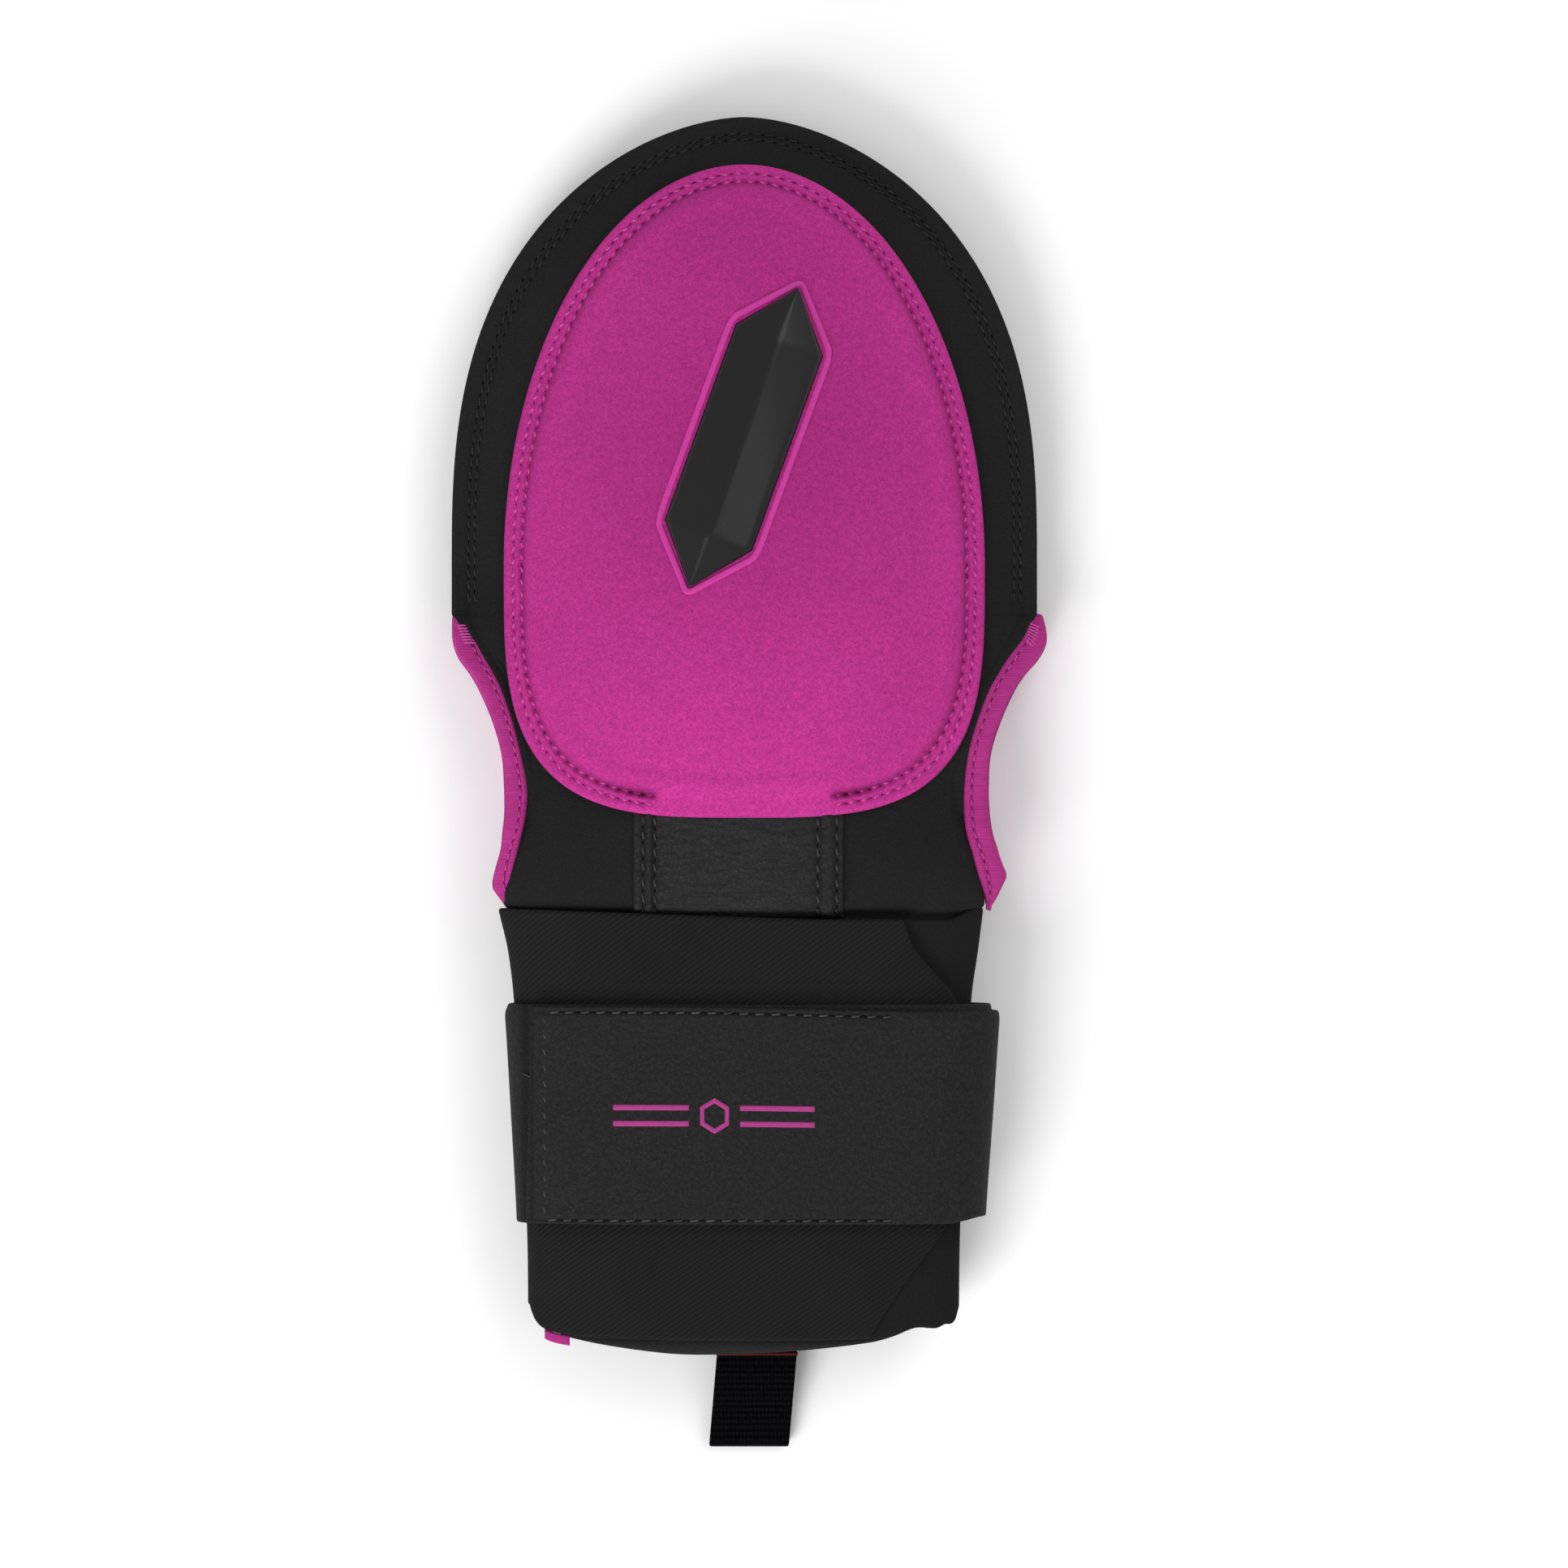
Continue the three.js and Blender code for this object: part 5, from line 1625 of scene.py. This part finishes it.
# The face has close rows and columns near its sewn edges. Round the right side the way out
# goes on growing, so that the sag and the stitches' end have one measure for the whole face.
# A bell along each row of stitches draws the leather in, and painted shade darkens the groove.
near_edge = np.array([0, 0.08, 0.25, 0.55, 0.9, 1.2, 1.45, 1.7, 1.95, 2.2, 2.6, 3.1]) / STRAP_WIDTH
rows_down = np.concatenate([near_edge, np.linspace(0.075, 0.955, 50)])
rows_down = np.concatenate([rows_down, 1 - near_edge[:9][::-1]])[:, None]
left_end = wrist_angle(FACE_LEFT_OUT, STRAP_TOP_Y - rows_down * STRAP_WIDTH, FACE_LIFT)
near_left = [0, 0.001, 0.003, 0.007, 0.01, 0.013, 0.016, 0.019, 0.023]
over = np.concatenate([near_left, np.linspace(0.03, 0.99, 110), [0.994, 0.998, 1]])[None]
angle = left_end + (FACE_RIGHT_END - left_end) * over
out = strap_ring(angle, rows_down, FACE_LIFT)[..., 0]
out = np.where(np.sin(angle) > 0, out, np.abs(out) + 2 * (WRIST_HALF - np.abs(out)))
low = face_low(out, rows_down)
outer = strap_ring(angle, low, FACE_LIFT + FACE_WALL)
inner = strap_ring(angle, low, FACE_LIFT)
sewn = out < SEAM_SEWN_TO + 3 * np.sin(out)
seam_top = bell(rows_down, FACE_SEAMS[0]["from"][1], SEAM_REACH / STRAP_WIDTH)
seam_low = bell(rows_down, FACE_SEAMS[1]["from"][1], SEAM_REACH / STRAP_WIDTH)
seam_left = bell(out, FACE_SEAMS[2]["from"][0], SEAM_REACH)
seams = np.maximum(np.maximum(seam_top, seam_low) * sewn, seam_left)
outer = outer + (inner - outer) * FACE_GROOVE_AND_SHADE["deep"] * seams[..., None]
strap_face = cloth_sheet(
    "strap_face",
    outer,
    inner,
    strap_leather,
    rim=0.6,
    # Painted shade in the grooves of the seams.
    shade=1 - FACE_GROOVE_AND_SHADE["dark"] * seams,
)
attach(strap_face, "root")
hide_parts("strap_face")
face_rows = []
for seam in FACE_SEAMS:
    share = np.linspace(0, 1, 120)
    out = seam["from"][0] + (seam["to"][0] - seam["from"][0]) * share
    low = seam["from"][1] + (seam["to"][1] - seam["from"][1]) * share
    path = face_point(out, low, FACE_LIFT + FACE_WALL - 0.25)
    normals = face_point(out, low, FACE_LIFT + FACE_WALL + 1) - path
    face_rows += stitch_row(
        f"strap_stitches_{seam['name']}",
        path,
        normals,
        strap_thread,
        strap_hole,
        pitch=3.65,
        length=2.4,
        width=0.55,
        rise=0.4,
        slant=seam["slant"],
        hole_size=(0.85, 0.36),
    )
loose = np.linspace(0, 1, 24)
loose_wave = LOOSE_THREAD["wave"] * np.sin(loose * 5)
loose_out = LOOSE_THREAD["out"] + LOOSE_THREAD["run"] * loose + loose_wave
loose_low = LOOSE_THREAD["low"] + LOOSE_THREAD["drop"] * loose
loose_end = face_point(loose_out, loose_low, STRAP_LIFT + STRAP_WALL + 0.25)
outwards = unit_length(face_point(loose_out, loose_low, STRAP_LIFT + STRAP_WALL + 1.25) - loose_end)
aside = unit_length(np.cross(outwards, np.gradient(loose_end, axis=0)))
thread_end = piping(
    "strap_loose_thread",
    loose_end,
    aside * LOOSE_THREAD["half"],
    outwards * LOOSE_THREAD["half"],
    strap_thread,
)
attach(thread_end, "root")

# Print on the strap: plain bars either side of a small hexagon, in a thin raised film of
# pink ink, pressed on the leather with heat.
PRINT_MIDDLE = -7.5
PRINT_DOWN = 0.5
PRINT_BAR_DOWN = 1.9
PRINT_BAR_HALF = 0.65
PRINT_HEXAGON = (2.6, 3.7)
PRINT_FILM = (0.1, -0.05)
PRINT_BARS = [
    {"name": "left", "from": -33.0, "to": -14.0},
    {"name": "right", "from": -1.0, "to": 18.0},
]
ink = thread_finish(
    "ink",
    light=(0.36, 0.03, 0.2),
    dark=(0.15, 0.012, 0.08),
    rough=0.6,
    gloss=0.3,
    size=0.0008,
    share=0.3,
    rise=0.00002,
)


def on_strap(out, low, distance):
    """Point of the print, a distance over the leather."""
    return face_point(out, low, FACE_LIFT + FACE_WALL + distance)


for bar in PRINT_BARS:
    for number, middle in enumerate((-PRINT_BAR_DOWN, PRINT_BAR_DOWN)):
        out, low = np.meshgrid(
            np.linspace(bar["from"], bar["to"], 40),
            PRINT_DOWN + (middle + np.linspace(-1, 1, 6) * PRINT_BAR_HALF) / STRAP_WIDTH,
        )
        mark = cloth_sheet(
            f"print_bar_{bar['name']}_{number + 1}",
            on_strap(out, low, PRINT_FILM[0]),
            on_strap(out, low, PRINT_FILM[1]),
            ink,
            rim=0.2,
            flip=True,
        )
        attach(mark, "root")
# The hexagon's radius is 1 over the cosine of the angle from the middle of its nearest side.
turn = np.radians(np.arange(0, 360, 5))
hexagon = 1 / np.cos((turn + np.pi / 6) % (np.pi / 3) - np.pi / 6)
radius = np.linspace(*PRINT_HEXAGON, 5)[:, None]
out = PRINT_MIDDLE + radius * hexagon * np.cos(turn)
low = PRINT_DOWN + radius * hexagon * np.sin(turn) / STRAP_WIDTH
out = np.concatenate([out, out[:, :1]], axis=1)
low = np.concatenate([low, low[:, :1]], axis=1)
mark = cloth_sheet(
    "print_hexagon",
    on_strap(out, low, PRINT_FILM[0]),
    on_strap(out, low, PRINT_FILM[1]),
    ink,
    rim=0.2,
    open_borders="tb",
    flip=True,
)
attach(mark, "root")

# Pull tab: a length of ribbed black webbing, folded back on itself and sewn inside the palm
# side of the sleeve, with one line of dark red thread at the hem.
TAB_WIDTH = 19.0
TAB_REACH = 23.4
TAB_ROOT = 16.0
TAB_WEB = 1.3
TAB_EYE = 1.0
TAB_OUTSIDE = TAB_WEB + TAB_EYE / 2
TAB_RIB = 1.5
TAB_RIB_POWER = 0.6
TAB_RIB_DEEP = 0.3
TAB_LEAN = 0.085
TAB_MIDDLE = 4.4
TAB_THREAD_Y = HEM_Y - 0.95
TAB_LIFT = 0.3
tab_length = TAB_ROOT + TAB_REACH
root_z = RING_Z - WRIST_HEIGHT / 2 + SLEEVE_WALL + TAB_LIFT


def tab_face(depth):
    """Grid of the webbing, a depth inside its outer face: down to its fold, round half a
    circle and back up. Its height eases in an S from its root to the floor, and it leans a
    little to the left."""
    share = np.linspace(0, 1, 170)
    fold_y = -tab_length + TAB_OUTSIDE
    lie = root_z + (TAB_LIFT - root_z) * smooth_rise(share, (TAB_ROOT + 2) / tab_length, 1)
    turn = np.linspace(-np.pi / 2, np.pi / 2, 20)[1:-1]
    radius = TAB_OUTSIDE - depth
    y = np.concatenate([share * fold_y, fold_y - np.cos(turn) * radius, share[::-1] * fold_y])
    z = np.concatenate([
        lie + TAB_OUTSIDE - radius,
        TAB_LIFT + TAB_OUTSIDE + np.sin(turn) * radius,
        lie[::-1] + TAB_OUTSIDE + radius,
    ])
    across = spaced(30, 0.03) - 0.5
    y, x = np.meshgrid(y, across * TAB_WIDTH, indexing="ij")
    z = np.repeat(z[:, None], len(across), axis=1)
    return np.stack([TAB_MIDDLE + x + y * TAB_LEAN, HEM_Y + TAB_ROOT + y, z], axis=2)


# The ribs are the sine of the run along the webbing, without its sign, to a power that
# widens them. Between two ribs the outer face is drawn in, and painted shade darkens it.
outer, inner = tab_face(0), tab_face(TAB_WEB)
ribs = np.abs(np.sin(np.pi * cloth_run(outer, 0) / TAB_RIB)) ** TAB_RIB_POWER
outer = outer + (inner - outer) * TAB_RIB_DEEP * (1 - ribs[..., None])
webbing = cloth_finish(
    "webbing",
    light=(0.0062, 0.0062, 0.0088),
    dark=(0.0003, 0.0003, 0.0004),
    rough=0.85,
    gloss=0.02,
    coordinates="UV",
    rows=[
        {"kind": "painted", "dark": 0.85, "rise": 0.0},
        {"kind": "waves", "size": 0.0009, "across": (1.0, 0.12), "dark": 0.5, "rise": 0.00012},
        {"kind": "noise", "size": 0.0009, "detail": 3.0, "dark": 0.6, "rise": 0.00008},
    ],
)
# The shade attribute, the ribs squared, is painted shade between the ribs.
tab = cloth_sheet("tab", outer, inner, webbing, rim=0.5, shade=ribs**2)
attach(tab, "root")
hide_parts("pull_tab")

upper_half = outer[len(outer) // 2 :]
seam_row = int(np.argmin(np.abs(upper_half[:, 0, 1] - TAB_THREAD_Y)))
centres = upper_half[seam_row] + (0, 0, 0.15)
seam_red = thread_finish(
    "seam_red",
    light=(0.07, 0.004, 0.004),
    dark=(0.02, 0.001, 0.001),
    rough=0.7,
    gloss=0.15,
    size=0.0012,
    share=0.6,
    rise=0.00003,
)
tab_thread = piping(
    "tab_thread",
    centres,
    np.tile((0, 0.42, 0), (len(centres), 1)),
    np.tile((0, 0, 0.3), (len(centres), 1)),
    seam_red,
)
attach(tab_thread, "root")

# Hem tag: the end of a pink ribbon of the bindings' cloth, which is caught under the wrap's
# lower left corner and lies on the sleeve.
TAG_MIDDLE = -0.89 * WRIST_HALF * WRIST_TAPER[-1]["left"]
TAG_WIDTH = 5.8
TAG_LENGTH = 2.4
TAG_FACES = (0.9, 0.2)


def tag_face(distance):
    """Grid of the tag, a distance outside the wrist's section, straight down from the wrap's
    lower edge."""
    down, across = np.meshgrid(np.linspace(0, 1, 10), np.linspace(-0.5, 0.5, 20), indexing="ij")
    x = TAG_MIDDLE + across * TAG_WIDTH
    y = wrap_hem_y(x) - 0.1 - down * TAG_LENGTH
    return wrist_ring(wrist_angle(x, y, 0), y, distance)


tag = cloth_sheet("tag", tag_face(TAG_FACES[0]), tag_face(TAG_FACES[1]), pink_binding, rim=0.3)
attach(tag, "root")
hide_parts("hem_tag")
